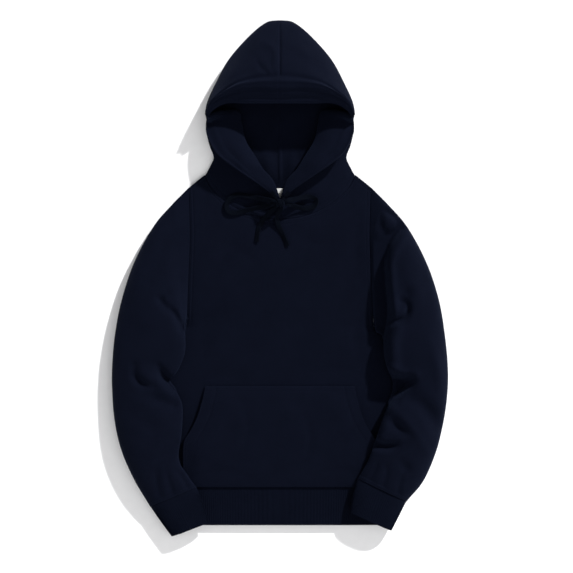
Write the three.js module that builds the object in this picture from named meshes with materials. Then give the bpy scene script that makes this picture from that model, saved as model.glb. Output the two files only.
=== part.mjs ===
// A pullover hoodie lying on its back on a flat surface, hood open, sleeves folded down over the body.
// Millimetres. X to the right of the picture, Y from hem to hood, Z up from the surface it lies on.
// The wearer's right side is at -X. Every cloth piece is a closed wall with an outer and an inner face.
import * as THREE from 'three';

// Cloth and seams
const CLOTH = 3;
const POCKET_CLOTH = 2.4;
const SEAM_GAP = 0.3;
const LAYER_GAP = 0.9;
const SEAM_HEIGHT = 2 * CLOTH + SEAM_GAP;

// Body, measured from the middle of the garment's box
const HEM_SEAM_Y = -418;
const HEM_END_Y = -494;
const UNDERARM_Y = -92;
const SHOULDER_TIP = { x: 183, y: 182 };
const NECK = { half: 150, y: 208, frontDrop: 89, backDrop: 17, curve: 1.33 };
const NECK_PLACES = [0, 0.06, 0.12, 0.19, 0.26, 0.33, 0.39, 0.44, 0.5];
const SIDE_CURVE = 5;

// Neck label and drawcord
const LABEL = { half: 27, top: 181, bottom: 148, thick: 0.7 };
const CORD = { width: 10, atKnot: 6, widening: 14, thick: 4, sides: 8 };

// Half width of the body and height of its side edge and of its middle, from hem to shoulder.
const BODY_ROWS = [
  { y: -500, half: 211, side: 6.3, middle: 12.5 },
  { y: -418, half: 214, side: 6.3, middle: 13.5 },
  { y: -370, half: 222, side: 6.3, middle: 15 },
  { y: -300, half: 229, side: 6.3, middle: 16 },
  { y: -220, half: 234, side: 6.3, middle: 16 },
  { y: -176, half: 231, side: 6.3, middle: 16.5 },
  { y: -142, half: 224, side: 6.3, middle: 17 },
  { y: -122, half: 214, side: 6.3, middle: 17 },
  { y: -108, half: 202, side: 6.3, middle: 17 },
  { y: -98, half: 189.5, side: 6.3, middle: 17 },
  { y: -92, half: 187, side: 6.8, middle: 17.5 },
  { y: -50, half: 185, side: 12, middle: 18 },
  { y: 0, half: 183, side: 15, middle: 18.5 },
  { y: 80, half: 180, side: 15, middle: 18.5 },
  { y: 130, half: 181, side: 12, middle: 17.5 },
  { y: 182, half: 183, side: 6.3, middle: 12 },
  { y: 212, half: 184, side: 6.3, middle: 6.3 },
];

// Sleeve sections from armhole to cuff. "in" is the edge towards the body, "out" the outline,
// "inZ" and "outZ" the heights of those two edges, "top" the height of the section's crown.
const SLEEVE_ROWS = {
  right: [
    { at: 0.06, inX: 191, inY: -101, outX: 212, outY: 153, inZ: 16, outZ: 9, top: 25 },
    { at: 0.13, inX: 189, inY: -120, outX: 250, outY: 109, inZ: 22, outZ: 12, top: 37 },
    { at: 0.23, inX: 190, inY: -148, outX: 291, outY: 34, inZ: 27, outZ: 15, top: 46 },
    { at: 0.33, inX: 204, inY: -184, outX: 317, outY: -44, inZ: 28, outZ: 17, top: 48 },
    { at: 0.42, inX: 220, inY: -206, outX: 330, outY: -112, inZ: 28, outZ: 18, top: 48 },
    { at: 0.49, inX: 207, inY: -225, outX: 335, outY: -165, inZ: 29, outZ: 18, top: 48 },
    { at: 0.56, inX: 195, inY: -252, outX: 336, outY: -212, inZ: 30, outZ: 18, top: 48 },
    { at: 0.67, inX: 196, inY: -306, outX: 331, outY: -282, inZ: 30, outZ: 18, top: 48 },
    { at: 0.79, inX: 202, inY: -360, outX: 317, outY: -344, inZ: 29, outZ: 17, top: 45 },
    { at: 0.9, inX: 183, inY: -394, outX: 291, outY: -404, inZ: 28, outZ: 15, top: 42 },
    { at: 1, inX: 167, inY: -417, outX: 260, outY: -456, inZ: 25, outZ: 13, top: 36 },
  ],
  left: [
    { at: 0.06, inX: 195, inY: -98, outX: 214, outY: 151, inZ: 17, outZ: 9, top: 36 },
    { at: 0.13, inX: 205, inY: -116, outX: 252, outY: 107, inZ: 25, outZ: 12, top: 52 },
    { at: 0.23, inX: 207, inY: -150, outX: 292, outY: 34, inZ: 31, outZ: 15, top: 58 },
    { at: 0.33, inX: 214, inY: -180, outX: 318, outY: -44, inZ: 32, outZ: 17, top: 58 },
    { at: 0.42, inX: 229, inY: -205, outX: 331, outY: -124, inZ: 31, outZ: 18, top: 55 },
    { at: 0.5, inX: 222, inY: -236, outX: 336, outY: -190, inZ: 32, outZ: 18, top: 55 },
    { at: 0.58, inX: 206, inY: -276, outX: 333, outY: -246, inZ: 34, outZ: 18, top: 56 },
    { at: 0.69, inX: 189, inY: -326, outX: 323, outY: -306, inZ: 34, outZ: 18, top: 54 },
    { at: 0.8, inX: 176, inY: -362, outX: 308, outY: -358, inZ: 32, outZ: 17, top: 50 },
    { at: 0.9, inX: 165, inY: -382, outX: 285, outY: -408, inZ: 30, outZ: 15, top: 46 },
    { at: 1, inX: 155, inY: -399, outX: 253, outY: -446, inZ: 27, outZ: 13, top: 40 },
  ],
};

// Cuffs: the seam to the sleeve and the open end.
const CUFF_ROWS = {
  right: [
    { at: 0, inX: 166.8, inY: -417.4, outX: 259.6, outY: -456.5, inZ: 24, outZ: 13, top: 34 },
    { at: 0.5, inX: 152, inY: -453, outX: 238, outY: -487.5, inZ: 23, outZ: 13, top: 34 },
    { at: 1, inX: 141, inY: -487, outX: 217, outY: -516, inZ: 21, outZ: 13, top: 33 },
  ],
  left: [
    { at: 0, inX: 154.8, inY: -399.5, outX: 252.3, outY: -446.6, inZ: 25, outZ: 14, top: 37 },
    { at: 0.5, inX: 145, inY: -434, outX: 237, outY: -477, inZ: 25, outZ: 16, top: 40 },
    { at: 1, inX: 139, inY: -466, outX: 223, outY: -504, inZ: 24, outZ: 17, top: 39 },
  ],
};

// Creases of the sleeves: a trough from one point to another, in outward X.
const SLEEVE_REACH = 11;
const SLEEVE_FOLDS = {
  right: [
    { fromX: 244, fromY: -42, toX: 200, toY: -94, width: 11, depth: 8 },
    { fromX: 216, fromY: -206, toX: 284, toY: -222, width: 13, depth: 9 },
    { fromX: 200, fromY: -258, toX: 268, toY: -264, width: 15, depth: 4 },
    { fromX: 200, fromY: -362, toX: 240, toY: -326, width: 10, depth: 5 },
  ],
  left: [
    { fromX: 212, fromY: -88, toX: 256, toY: -64, width: 10, depth: 8 },
    { fromX: 190, fromY: 150, toX: 236, toY: 92, width: 11, depth: 7 },
    { fromX: 226, fromY: -236, toX: 320, toY: -262, width: 16, depth: 9 },
    { fromX: 186, fromY: -342, toX: 244, toY: -334, width: 11, depth: 9 },
  ],
};

// One hood panel, from the front corner of the neck (0) to the centre back seam (1), each row at its
// place on the neck seam. A row is a strip of cloth from the opening edge, over its crest, down the
// side and along the surface to the neck seam.
const HOOD_ROWS = [
  { at: 0, edge: [0.2, 157, 38], crest: [0.2, 151, 35], side: [0.2, 141, 28], foot: [0.2, 130, 20] },
  { at: 0.12, edge: [31, 179, 42], crest: [15, 192, 35], side: [28, 174, 24], foot: [42, 148, 18.5] },
  { at: 0.24, edge: [66, 203, 46], crest: [36, 217, 36], side: [60, 198, 22], foot: [86, 170, 18] },
  { at: 0.38, edge: [100, 226, 49], crest: [54, 246, 37], side: [92, 224, 19], foot: [122, 202, 14] },
  { at: 0.5, edge: [124, 246, 51], crest: [68, 268, 38], side: [116, 248, 17], foot: [136, 228, 8] },
  { at: 0.6, edge: [138, 268, 52], crest: [76, 290, 38], side: [136, 264, 13], foot: [132, 244, 0] },
  { at: 0.68, edge: [147, 291, 52], crest: [80, 312, 38], side: [144, 288, 12], foot: [134, 266, 0] },
  { at: 0.74, edge: [147, 310, 52], crest: [84, 332, 38], side: [146, 308, 14], foot: [134, 286, 0] },
  { at: 0.78, edge: [139, 323, 54], crest: [145, 332, 52], side: [147, 328, 18], foot: [132, 306, 0] },
  { at: 0.82, edge: [122, 338, 56], crest: [136, 352, 66], side: [144, 352, 24], foot: [124, 334, 0] },
  { at: 0.87, edge: [98, 346, 57], crest: [111, 370, 78], side: [129, 388, 26], foot: [104, 364, 0] },
  { at: 0.92, edge: [66, 346, 59], crest: [78, 387, 85], side: [102, 438, 26], foot: [78, 408, 0] },
  { at: 0.96, edge: [34, 346, 60], crest: [40, 394, 88], side: [60, 484, 24], foot: [44, 454, 0] },
  { at: 0.985, edge: [13, 346, 61], crest: [15, 395, 89], side: [27, 507, 21], foot: [19, 481, 0] },
  { at: 1, edge: [0.2, 346, 61], crest: [0.2, 396, 89], side: [0.2, 510, 20], foot: [0.2, 486, 0] },
];

// Kangaroo pocket: half width from the hem seam up to the top edge.
const POCKET_ROWS = [
  { y: -417.6, half: 193 },
  { y: -380, half: 194 },
  { y: -326, half: 192 },
  { y: -302, half: 178 },
  { y: -278, half: 166 },
  { y: -246, half: 156 },
  { y: -215, half: 149 },
];
const POCKET_PUFF = 7;
const POCKET_OPEN_FROM = -326;

// The drawcord's bow. Each stretch starts at the knot, at a place given by its turn about Z and its
// rise, in degrees, and a loop ends at the knot too.
const KNOT = { x: 0, y: 150, z: 47, half: [10, 8.5, 8] };
const CORD_ROUTES = {
  drawcord_feed_right: { start: [130, -10], route: [[-11, 164, 46], [-17, 172, 46.2]] },
  drawcord_feed_left: { start: [50, -10], route: [[11, 164, 46], [17, 172, 46.2]] },
  drawcord_loop_right: {
    start: [162, 8],
    route: [
      [-24, 156, 43], [-42, 160, 32], [-62, 164, 25], [-84, 167, 21.6], [-99, 160, 20.4], [-107, 146, 19.4],
      [-103, 134, 20.2], [-88, 131, 20.6], [-68, 136, 22], [-44, 141, 28], [-24, 145, 39.5],
    ],
    end: [190, -8],
  },
  drawcord_loop_left: {
    start: [20, 8],
    route: [
      [24, 157, 43], [42, 161, 32], [60, 163, 25], [72, 158, 22], [70, 146, 21], [54, 140, 22], [37, 142, 28],
      [22, 146, 39],
    ],
    end: [-10, -8],
  },
  drawcord_tail_right: {
    start: [222, -42],
    route: [[-13, 138, 35], [-27, 125, 26], [-37, 112, 22], [-44, 95, 21.2], [-47, 73, 20.9]],
  },
  drawcord_tail_left: {
    start: [285, -35],
    route: [[-2, 133, 37], [-6, 119, 26], [-2, 103, 21.8], [7, 84, 21], [15, 64, 20.9]],
  },
};

const COLOURS = { cloth: '#12172a', rib: '#11162a', cord: '#10161f', label: '#f1f1ee' };

const clamp = (value, low, high) => Math.min(high, Math.max(low, value));
const mix = (a, b, t) => a + (b - a) * t;
const ease = (t) => t * t * (3 - 2 * t);

// Smooth curve through a table's rows at one place: "key" is the column that is followed.
function follow(rows, key, at, column) {
  const last = rows.length - 1;
  const rising = rows[last][key] > rows[0][key];
  const place = rising ? clamp(at, rows[0][key], rows[last][key]) : clamp(at, rows[last][key], rows[0][key]);
  let k = 0;
  while (k < last - 1 && (rising ? place > rows[k + 1][key] : place < rows[k + 1][key])) k += 1;
  const value = (i) => column(rows[clamp(i, 0, last)]);
  const knot = (i) => rows[clamp(i, 0, last)][key];
  const slope = (i) => {
    if (i <= 0) return (value(1) - value(0)) / (knot(1) - knot(0));
    if (i >= last) return (value(last) - value(last - 1)) / (knot(last) - knot(last - 1));
    return (value(i + 1) - value(i - 1)) / (knot(i + 1) - knot(i - 1));
  };
  const span = knot(k + 1) - knot(k);
  const t = (place - knot(k)) / span;
  const cube = t * t * t;
  const square = t * t;
  return (2 * cube - 3 * square + 1) * value(k) + (cube - 2 * square + t) * span * slope(k)
    + (3 * square - 2 * cube) * value(k + 1) + (cube - square) * span * slope(k + 1);
}

const bodyHalf = (y) => follow(BODY_ROWS, 'y', y, (row) => row.half);
const bodySide = (y) => follow(BODY_ROWS, 'y', y, (row) => row.side);
const bodyMiddle = (y) => follow(BODY_ROWS, 'y', y, (row) => row.middle);

// How steeply the front turns down at its side: a rounded edge below the underarm, flat above it.
const sideRound = (y) => mix(0.5, 1, ease(clamp((y - UNDERARM_Y) / 60, 0, 1)));

// Height of the front's outer face.
function frontHeight(x, y, half = bodyHalf(y)) {
  const across = clamp(Math.abs(x) / half, 0, 1);
  const side = bodySide(y);
  return side + (bodyMiddle(y) - side) * (1 - across ** SIDE_CURVE) ** sideRound(y);
}

// Height of the pocket's slack above the front: none along its sewn edges, most at the hand openings.
function pocketSlack(across, y) {
  const up = (y - POCKET_ROWS[0].y) / (POCKET_ROWS.at(-1).y - POCKET_ROWS[0].y);
  const middle = Math.sin(Math.PI * clamp(up, 0, 1)) ** 0.55;
  const sewn = ease(clamp((POCKET_OPEN_FROM + 14 - y) / 60, 0, 1)) * ease(clamp((across - 0.8) / 0.2, 0, 1));
  return POCKET_PUFF * middle * (1 - sewn);
}

const pocketHalf = (y) => follow(POCKET_ROWS, 'y', y, (row) => row.half);

// Top of what lies below a sleeve: the front, its pocket or the hem band, and nothing beside them.
function coverHeight(x, y) {
  const off = Math.abs(x);
  if (y > UNDERARM_Y || y < HEM_END_Y || off > bodyHalf(y)) return 0;
  const onPocket = y <= POCKET_ROWS.at(-1).y && off <= pocketHalf(y);
  const lift = onPocket ? LAYER_GAP + POCKET_CLOTH + pocketSlack(off / pocketHalf(y), y) : 0;
  return frontHeight(x, y) + lift;
}

// Height on which a sleeve or cuff lies, with room round the edges of what is below it.
function restingHeight(x, y) {
  const reach = [-SLEEVE_REACH, 0, SLEEVE_REACH];
  const highest = Math.max(...reach.flatMap((dx) => reach.map((dy) => coverHeight(x + dx, y + dy))));
  return highest > 0 ? highest + LAYER_GAP : 0;
}

// A closed wall from a grid of outer points. Normals can be set at chosen points; inner points lie
// "thick" inside the outer ones. "loop" closes the grid along its first index, and "kept" gives the
// first and last lines and places that are made, so that two walls can meet on one section.
function wall({ columns, rows, point, normal, thick, loop = false, kept = {} }) {
  const outer = [];
  for (let i = 0; i < columns; i += 1) {
    outer.push(Array.from({ length: rows }, (_, j) => point(i, j)));
  }
  const at = (i, j) => {
    const column = loop ? (i + columns) % columns : clamp(i, 0, columns - 1);
    return outer[column][clamp(j, 0, rows - 1)];
  };
  const inner = outer.map((line, i) => line.map((p, j) => {
    const along = new THREE.Vector3().subVectors(at(i + 1, j), at(i - 1, j));
    const up = new THREE.Vector3().subVectors(at(i, j + 1), at(i, j - 1));
    const facing = along.cross(up).normalize();
    const chosen = normal ? normal(facing, i, j) : facing;
    return p.clone().addScaledVector(chosen.normalize(), -thick);
  }));
  const [firstLine, lastLine] = kept.lines ?? [0, columns - 1];
  const [firstPlace, lastPlace] = kept.places ?? [0, rows - 1];
  const positions = [];
  [outer, inner].forEach((grid) => grid.slice(firstLine, lastLine + 1).forEach((line) => {
    line.slice(firstPlace, lastPlace + 1).forEach((p) => positions.push(p.x, p.y, p.z));
  }));
  const lines = lastLine - firstLine + 1;
  const places = lastPlace - firstPlace + 1;
  const index = [];
  const o = (i, j) => (i % lines) * places + j;
  const n = (i, j) => lines * places + o(i, j);
  const quad = (a, b, c, d) => index.push(a, b, c, a, c, d);
  const spans = loop ? lines : lines - 1;
  for (let i = 0; i < spans; i += 1) {
    for (let j = 0; j < places - 1; j += 1) {
      quad(o(i, j), o(i + 1, j), o(i + 1, j + 1), o(i, j + 1));
      quad(n(i, j), n(i, j + 1), n(i + 1, j + 1), n(i + 1, j));
    }
    quad(o(i + 1, 0), o(i, 0), n(i, 0), n(i + 1, 0));
    quad(o(i, places - 1), o(i + 1, places - 1), n(i + 1, places - 1), n(i, places - 1));
  }
  if (!loop) {
    for (let j = 0; j < places - 1; j += 1) {
      quad(o(0, j), o(0, j + 1), n(0, j + 1), n(0, j));
      quad(o(lines - 1, j), n(lines - 1, j), n(lines - 1, j + 1), o(lines - 1, j + 1));
    }
  }
  const geometry = new THREE.BufferGeometry();
  geometry.setAttribute('position', new THREE.Float32BufferAttribute(positions, 3));
  geometry.setIndex(index);
  geometry.computeVertexNormals();
  return geometry;
}

const neckX = (place) => NECK.half * Math.sin(Math.PI * place);

// Upper edge of a body panel: the neck curve between the shoulders, then the shoulder seam.
function topEdge(x, drop) {
  const off = Math.abs(x);
  if (off < NECK.half) return NECK.y - drop * (1 - (off / NECK.half) ** 2) ** (NECK.curve / 2);
  return mix(NECK.y, SHOULDER_TIP.y, (off - NECK.half) / (SHOULDER_TIP.x - NECK.half));
}

// A body panel over the plan of the garment. "height" gives its outer face, "face" is 1 for the
// front and -1 for the back, and "levels" are the heights up the panel, in plan, of its rows.
function bodyPanel({ drop, height, face, levels, sides }) {
  const across = [...NECK_PLACES.map((place) => neckX(place) / SHOULDER_TIP.x), ...sides];
  const columns = [...across.slice(1).reverse().map((part) => -part), ...across].map((part) => part * face);
  const low = HEM_SEAM_Y + SEAM_GAP / 2;
  const place = (i, j) => {
    const top = topEdge(columns[i] * SHOULDER_TIP.x, drop);
    const y = mix(low, top, (levels[j] - low) / (SHOULDER_TIP.y - low));
    return [columns[i] * bodyHalf(y), y];
  };
  const last = levels.length - 1;
  const point = (i, j) => {
    const [x, y] = place(i, j);
    return new THREE.Vector3(x, y, height(x, y));
  };
  const normal = (facing, i, j) => {
    if (j === last || Math.abs(columns[i]) === 1) return new THREE.Vector3(0, 0, face);
    return j === 0 ? facing.setY(0) : facing;
  };
  return wall({ columns: columns.length, rows: levels.length, point, normal, thick: CLOTH });
}

const armholeY = (part) => mix(UNDERARM_Y, SHOULDER_TIP.y, part);

// Points round a flattened tube, over the top from its inner edge and back underneath.
const TUBE_POINTS = 20;
const tubeAngle = (i) => (2 * Math.PI * i) / TUBE_POINTS;
const tubeAcross = (angle) => 0.5 - 0.5 * Math.sign(Math.cos(angle)) * Math.abs(Math.cos(angle)) ** 0.85;
const isEdge = (angle) => Math.abs(Math.sin(angle)) < 0.01;

// One point of a flattened tube's section, which rests on what lies below it.
function tubePoint(row, angle, sign) {
  const across = tubeAcross(angle);
  const x = mix(row.inX, row.outX, across) * sign;
  const y = mix(row.inY, row.outY, across);
  const rest = restingHeight(x, y);
  const edge = Math.max(mix(row.inZ, row.outZ, across), rest + CLOTH + 1);
  const top = Math.max(row.top, rest + 3 * CLOTH);
  const rise = Math.abs(Math.sin(angle)) ** 0.8;
  const z = Math.sin(angle) >= 0 ? mix(edge, top, rise) : mix(edge, rest, rise);
  return new THREE.Vector3(x, y, z);
}

// A tube's wall is square to its ends, so each normal stays in the section's upright plane.
function inSection(facing, row, sign) {
  const axis = new THREE.Vector3(row.inY - row.outY, (row.outX - row.inX) * sign, 0).normalize();
  return facing.projectOnPlane(axis);
}

function tubeRow(rows, at) {
  const names = ['inX', 'inY', 'outX', 'outY', 'inZ', 'outZ', 'top'];
  return Object.fromEntries(names.map((name) => [name, follow(rows, 'at', at, (row) => row[name])]));
}

// How far a trough lowers a point of the upper layer.
function troughs(folds, x, y) {
  return folds.reduce((sum, fold) => {
    const dx = fold.toX - fold.fromX;
    const dy = fold.toY - fold.fromY;
    const along = ((x - fold.fromX) * dx + (y - fold.fromY) * dy) / (dx * dx + dy * dy);
    const held = clamp(along, 0, 1);
    const off = Math.hypot(x - fold.fromX - held * dx, y - fold.fromY - held * dy);
    return sum + fold.depth * Math.exp(-((off / fold.width) ** 2)) * (1 - 0.6 * held);
  }, 0);
}

// The armhole's edge, seen as the sleeve's first section: front edge above, back edge below.
function armholePoint(angle, sign) {
  const y = armholeY(tubeAcross(angle));
  const x = bodyHalf(y) + SEAM_GAP;
  if (isEdge(angle)) return new THREE.Vector3(x * sign, y, SEAM_HEIGHT / 2);
  return new THREE.Vector3(x * sign, y, Math.sin(angle) > 0 ? frontHeight(x, y) : 0);
}

// The two steps at the elbow are a seam's gap apart: the upper sleeve ends at one, the forearm
// starts at the other.
const ELBOW = 0.47;
const SLEEVE_STEPS = [
  0, 0.03, 0.06, 0.1, 0.15, 0.2, 0.26, 0.32, 0.37, 0.42, ELBOW, ELBOW + 0.001, 0.52, 0.58, 0.65, 0.72, 0.79, 0.86,
  0.93, 1,
];
const ELBOW_STEP = SLEEVE_STEPS.indexOf(ELBOW);
const SLEEVE_PARTS = { sleeve: [0, ELBOW_STEP], forearm: [ELBOW_STEP + 1, SLEEVE_STEPS.length - 1] };

// Tubes run over the top from the outline on one side of the garment and towards it on the other.
const tubeOrder = (i, sign) => (sign < 0 ? i : (TUBE_POINTS - i) % TUBE_POINTS);

function sleeve(side, sign, places) {
  const rows = SLEEVE_ROWS[side];
  const start = rows[0].at;
  const point = (i, j) => {
    const angle = tubeAngle(tubeOrder(i, sign));
    const at = SLEEVE_STEPS[j];
    const first = armholePoint(angle, sign);
    if (at === 0) return first;
    const body = tubePoint(tubeRow(rows, Math.max(at, start)), angle, sign);
    const p = at < start ? first.lerp(body, at / start) : body;
    const rest = restingHeight(p.x, p.y);
    if (Math.sin(angle) > 0.01) {
      const trough = troughs(SLEEVE_FOLDS[side], Math.abs(p.x), p.y) * Math.sin(angle);
      p.z = Math.max(p.z - trough, rest + 2.6 * CLOTH);
    } else {
      p.z = Math.max(p.z, isEdge(angle) ? rest + CLOTH + 1 : rest);
    }
    return p;
  };
  const normal = (facing, i, j) => {
    const angle = tubeAngle(tubeOrder(i, sign));
    if (j === 0 && isEdge(angle)) return new THREE.Vector3(0, -Math.sign(Math.cos(angle)), 0);
    if (j === 0) return new THREE.Vector3(0, 0, Math.sign(Math.sin(angle)));
    return inSection(facing, tubeRow(rows, Math.max(SLEEVE_STEPS[j], start)), sign);
  };
  const kept = { places };
  const size = { columns: TUBE_POINTS, rows: SLEEVE_STEPS.length };
  return wall({ ...size, point, normal, thick: CLOTH, loop: true, kept });
}

const CUFF_STEPS = [0, 0.22, 0.42, 0.62, 0.81, 1];

function cuff(side, sign) {
  const row = (j) => tubeRow(CUFF_ROWS[side], CUFF_STEPS[j]);
  const point = (i, j) => tubePoint(row(j), tubeAngle(tubeOrder(i, sign)), sign);
  const normal = (facing, i, j) => inSection(facing, row(j), sign);
  return wall({ columns: TUBE_POINTS, rows: CUFF_STEPS.length, point, normal, thick: CLOTH, loop: true });
}

const HEM_POINTS = 36;
const HEM_STEPS = 4;

// The hem's rib band, a flat tube below the two panels.
function hemBand() {
  const point = (i, j) => {
    const angle = (2 * Math.PI * i) / HEM_POINTS;
    const turn = Math.cos(angle);
    const y = mix(HEM_END_Y, HEM_SEAM_Y - SEAM_GAP / 2, j / (HEM_STEPS - 1));
    const x = -Math.sign(turn) * Math.abs(turn) ** 0.7 * bodyHalf(y);
    if (isEdge(angle)) return new THREE.Vector3(x, y, SEAM_HEIGHT / 2);
    return new THREE.Vector3(x, y, Math.sin(angle) > 0 ? frontHeight(x, y) : 0);
  };
  const normal = (facing) => facing.setY(0);
  return wall({ columns: HEM_POINTS, rows: HEM_STEPS, point, normal, thick: CLOTH, loop: true });
}

function pocket() {
  const levels = [0, 0.08, 0.2, 0.33, 0.45, 0.56, 0.67, 0.78, 0.9, 1];
  const acrosses = [-1, -0.93, -0.8, -0.6, -0.4, -0.2, 0, 0.2, 0.4, 0.6, 0.8, 0.93, 1];
  const point = (i, j) => {
    const y = mix(POCKET_ROWS[0].y, POCKET_ROWS.at(-1).y, levels[j]);
    const x = acrosses[i] * pocketHalf(y);
    const lift = LAYER_GAP + POCKET_CLOTH + pocketSlack(Math.abs(acrosses[i]), y);
    return new THREE.Vector3(x, y, frontHeight(x, y) + lift);
  };
  const normal = () => new THREE.Vector3(0, 0, 1);
  return wall({ columns: acrosses.length, rows: levels.length, point, normal, thick: POCKET_CLOTH });
}

// A corner of the hood's neck edge, just inside the body panels' neck edges.
function neckCorner(place) {
  const front = place < 0.5;
  const turn = Math.PI * place;
  const drop = (front ? NECK.frontDrop : NECK.backDrop) - 2 * SEAM_GAP;
  const x = (NECK.half - 2 * SEAM_GAP) * Math.sin(turn);
  const y = NECK.y - drop * Math.abs(Math.cos(turn)) ** NECK.curve;
  if (place === 0.5) return new THREE.Vector3(x, y, SEAM_HEIGHT / 2);
  return new THREE.Vector3(x, y, front ? frontHeight(x, y) : 0);
}

const NECK_RING = [...NECK_PLACES, ...NECK_PLACES.slice(0, -1).reverse().map((place) => 1 - place)];

// The neck edge runs straight between its corners, as the panels' edges do.
function neckPoint(place) {
  const k = clamp(NECK_RING.findIndex((corner) => corner >= place), 1, NECK_RING.length - 1);
  const part = (place - NECK_RING[k - 1]) / (NECK_RING[k] - NECK_RING[k - 1]);
  return neckCorner(NECK_RING[k - 1]).lerp(neckCorner(NECK_RING[k]), part);
}

// The shoulder's two places are a seam's gap apart: the hood's side ends at one, its crown starts
// at the other. Both keep one set of facings there, so that the two ends stay parallel.
const SHOULDER = 0.5;
const SHOULDER_GAP = 0.005;
const HOOD_STEPS = [...NECK_RING, SHOULDER + SHOULDER_GAP, 0.64, 0.705, 0.775, 0.845, 0.91, 0.955, 0.985]
  .sort((a, b) => a - b);
const SHOULDER_STEP = HOOD_STEPS.indexOf(SHOULDER);
const HOOD_PARTS = { hood_side: [0, SHOULDER_STEP], hood: [SHOULDER_STEP + 1, HOOD_STEPS.length - 1] };
const STRIP_STEPS = [0, 0.09, 0.17, 0.25, 0.32, 0.39, 0.46, 0.53, 0.58, 0.64, 0.7, 0.78, 0.86, 0.93, 1];
const STRIP_KNOTS = { edge: 0, crest: 0.25, side: 0.53, foot: 0.7 };

function hoodPanel(sign, steps) {
  const strip = (at) => {
    const corner = (name, axis) => follow(HOOD_ROWS, 'at', at, (row) => row[name][axis]);
    const knots = Object.entries(STRIP_KNOTS).map(([name, step]) => ({
      at: step,
      x: corner(name, 0),
      y: corner(name, 1),
      z: corner(name, 2),
    }));
    return [...knots, { at: 1, ...neckPoint(at) }];
  };
  const order = (i) => (sign > 0 ? HOOD_STEPS.length - 1 - i : i);
  const point = (i, j) => {
    const rows = strip(HOOD_STEPS[order(i)]);
    const [x, y, z] = ['x', 'y', 'z'].map((axis) => follow(rows, 'at', STRIP_STEPS[j], (row) => row[axis]));
    return new THREE.Vector3(Math.max(x, SEAM_GAP / 2) * sign, y, Math.max(z, 0));
  };
  const shared = [];
  const normal = (facing, i, j) => {
    const at = HOOD_STEPS[order(i)];
    if (Math.abs(at - SHOULDER) < 2 * SHOULDER_GAP) {
      if (j >= STRIP_STEPS.length - 2) return new THREE.Vector3(sign, 0, 0);
      shared[j] ??= facing.clone();
      return shared[j].clone();
    }
    if (j === STRIP_STEPS.length - 1) {
      return new THREE.Vector3(0, 0, Math.sign(SHOULDER - at));
    }
    return at === 0 || at === 1 ? facing.setX(0) : facing;
  };
  const lines = steps.map(order).sort((a, b) => a - b);
  const size = { columns: HOOD_STEPS.length, rows: STRIP_STEPS.length };
  return wall({ ...size, point, normal, thick: CLOTH, kept: { lines } });
}

// The last two corners of a stretch of cord where it meets the knot: just off its surface, and further out.
function knotEnd([turn, rise]) {
  const [t, r] = [turn, rise].map(THREE.MathUtils.degToRad);
  const way = new THREE.Vector3(Math.cos(r) * Math.cos(t), Math.cos(r) * Math.sin(t), Math.sin(r));
  const [x, y, z] = KNOT.half;
  const reach = 1 / Math.hypot(way.x / x, way.y / y, way.z / z);
  return [reach + 4 * SEAM_GAP + CORD.thick, reach + 1.5 * SEAM_GAP].map((off) => (
    new THREE.Vector3(KNOT.x, KNOT.y, KNOT.z).addScaledVector(way, off)
  ));
}

// A flat cord, its width level and drawn in where it enters the knot, closed at both ends.
function cord({ start, route, end }) {
  const corners = [...knotEnd(start).reverse(), ...route.map((place) => new THREE.Vector3(...place))];
  if (end) corners.push(...knotEnd(end));
  const path = new THREE.CatmullRomCurve3(corners, false, 'centripetal');
  const length = path.getLength();
  const steps = Math.max(3, Math.round(length / CORD.width));
  const positions = [];
  path.getSpacedPoints(steps).forEach((middle, k) => {
    const along = path.getTangentAt(k / steps);
    const level = along.clone().cross(new THREE.Vector3(0, 0, 1)).normalize();
    const up = level.clone().cross(along);
    const fromKnot = Math.min(k, end ? steps - k : k) * (length / steps);
    const width = mix(CORD.atKnot, CORD.width, ease(clamp(fromKnot / CORD.widening, 0, 1)));
    for (let n = 0; n < CORD.sides; n += 1) {
      const angle = (2 * Math.PI * n) / CORD.sides;
      const [c, d] = [Math.cos(angle), Math.sin(angle)].map((v) => Math.sign(v) * Math.abs(v) ** 0.7);
      const p = middle.clone().addScaledVector(level, (c * width) / 2).addScaledVector(up, (d * CORD.thick) / 2);
      positions.push(p.x, p.y, p.z);
    }
  });
  const index = [];
  const at = (k, n) => k * CORD.sides + (n % CORD.sides);
  for (let n = 0; n < CORD.sides; n += 1) {
    for (let k = 0; k < steps; k += 1) {
      index.push(at(k, n), at(k + 1, n + 1), at(k, n + 1), at(k, n), at(k + 1, n), at(k + 1, n + 1));
    }
    if (n > 0 && n < CORD.sides - 1) {
      index.push(at(0, 0), at(0, n), at(0, n + 1), at(steps, 0), at(steps, n + 1), at(steps, n));
    }
  }
  const geometry = new THREE.BufferGeometry();
  geometry.setAttribute('position', new THREE.Float32BufferAttribute(positions, 3));
  geometry.setIndex(index);
  geometry.computeVertexNormals();
  return geometry;
}

function knot() {
  const geometry = new THREE.SphereGeometry(1, 16, 10);
  geometry.scale(...KNOT.half);
  geometry.translate(KNOT.x, KNOT.y, KNOT.z);
  return geometry;
}

function label() {
  const height = LABEL.top - LABEL.bottom;
  const geometry = new THREE.BoxGeometry(2 * LABEL.half, height, LABEL.thick);
  geometry.translate(0, (LABEL.top + LABEL.bottom) / 2, CLOTH + SEAM_GAP + LABEL.thick / 2);
  return geometry;
}

function material(colour, roughness) {
  return new THREE.MeshStandardMaterial({ color: colour, roughness, metalness: 0 });
}

const finishes = {
  cloth: material(COLOURS.cloth, 0.95),
  rib: material(COLOURS.rib, 0.92),
  cord: material(COLOURS.cord, 0.85),
  label: material(COLOURS.label, 0.6),
};

const hoodie = new THREE.Group();

function add(name, geometry, finish) {
  const mesh = new THREE.Mesh(geometry, finishes[finish]);
  mesh.name = name;
  hoodie.add(mesh);
}

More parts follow.
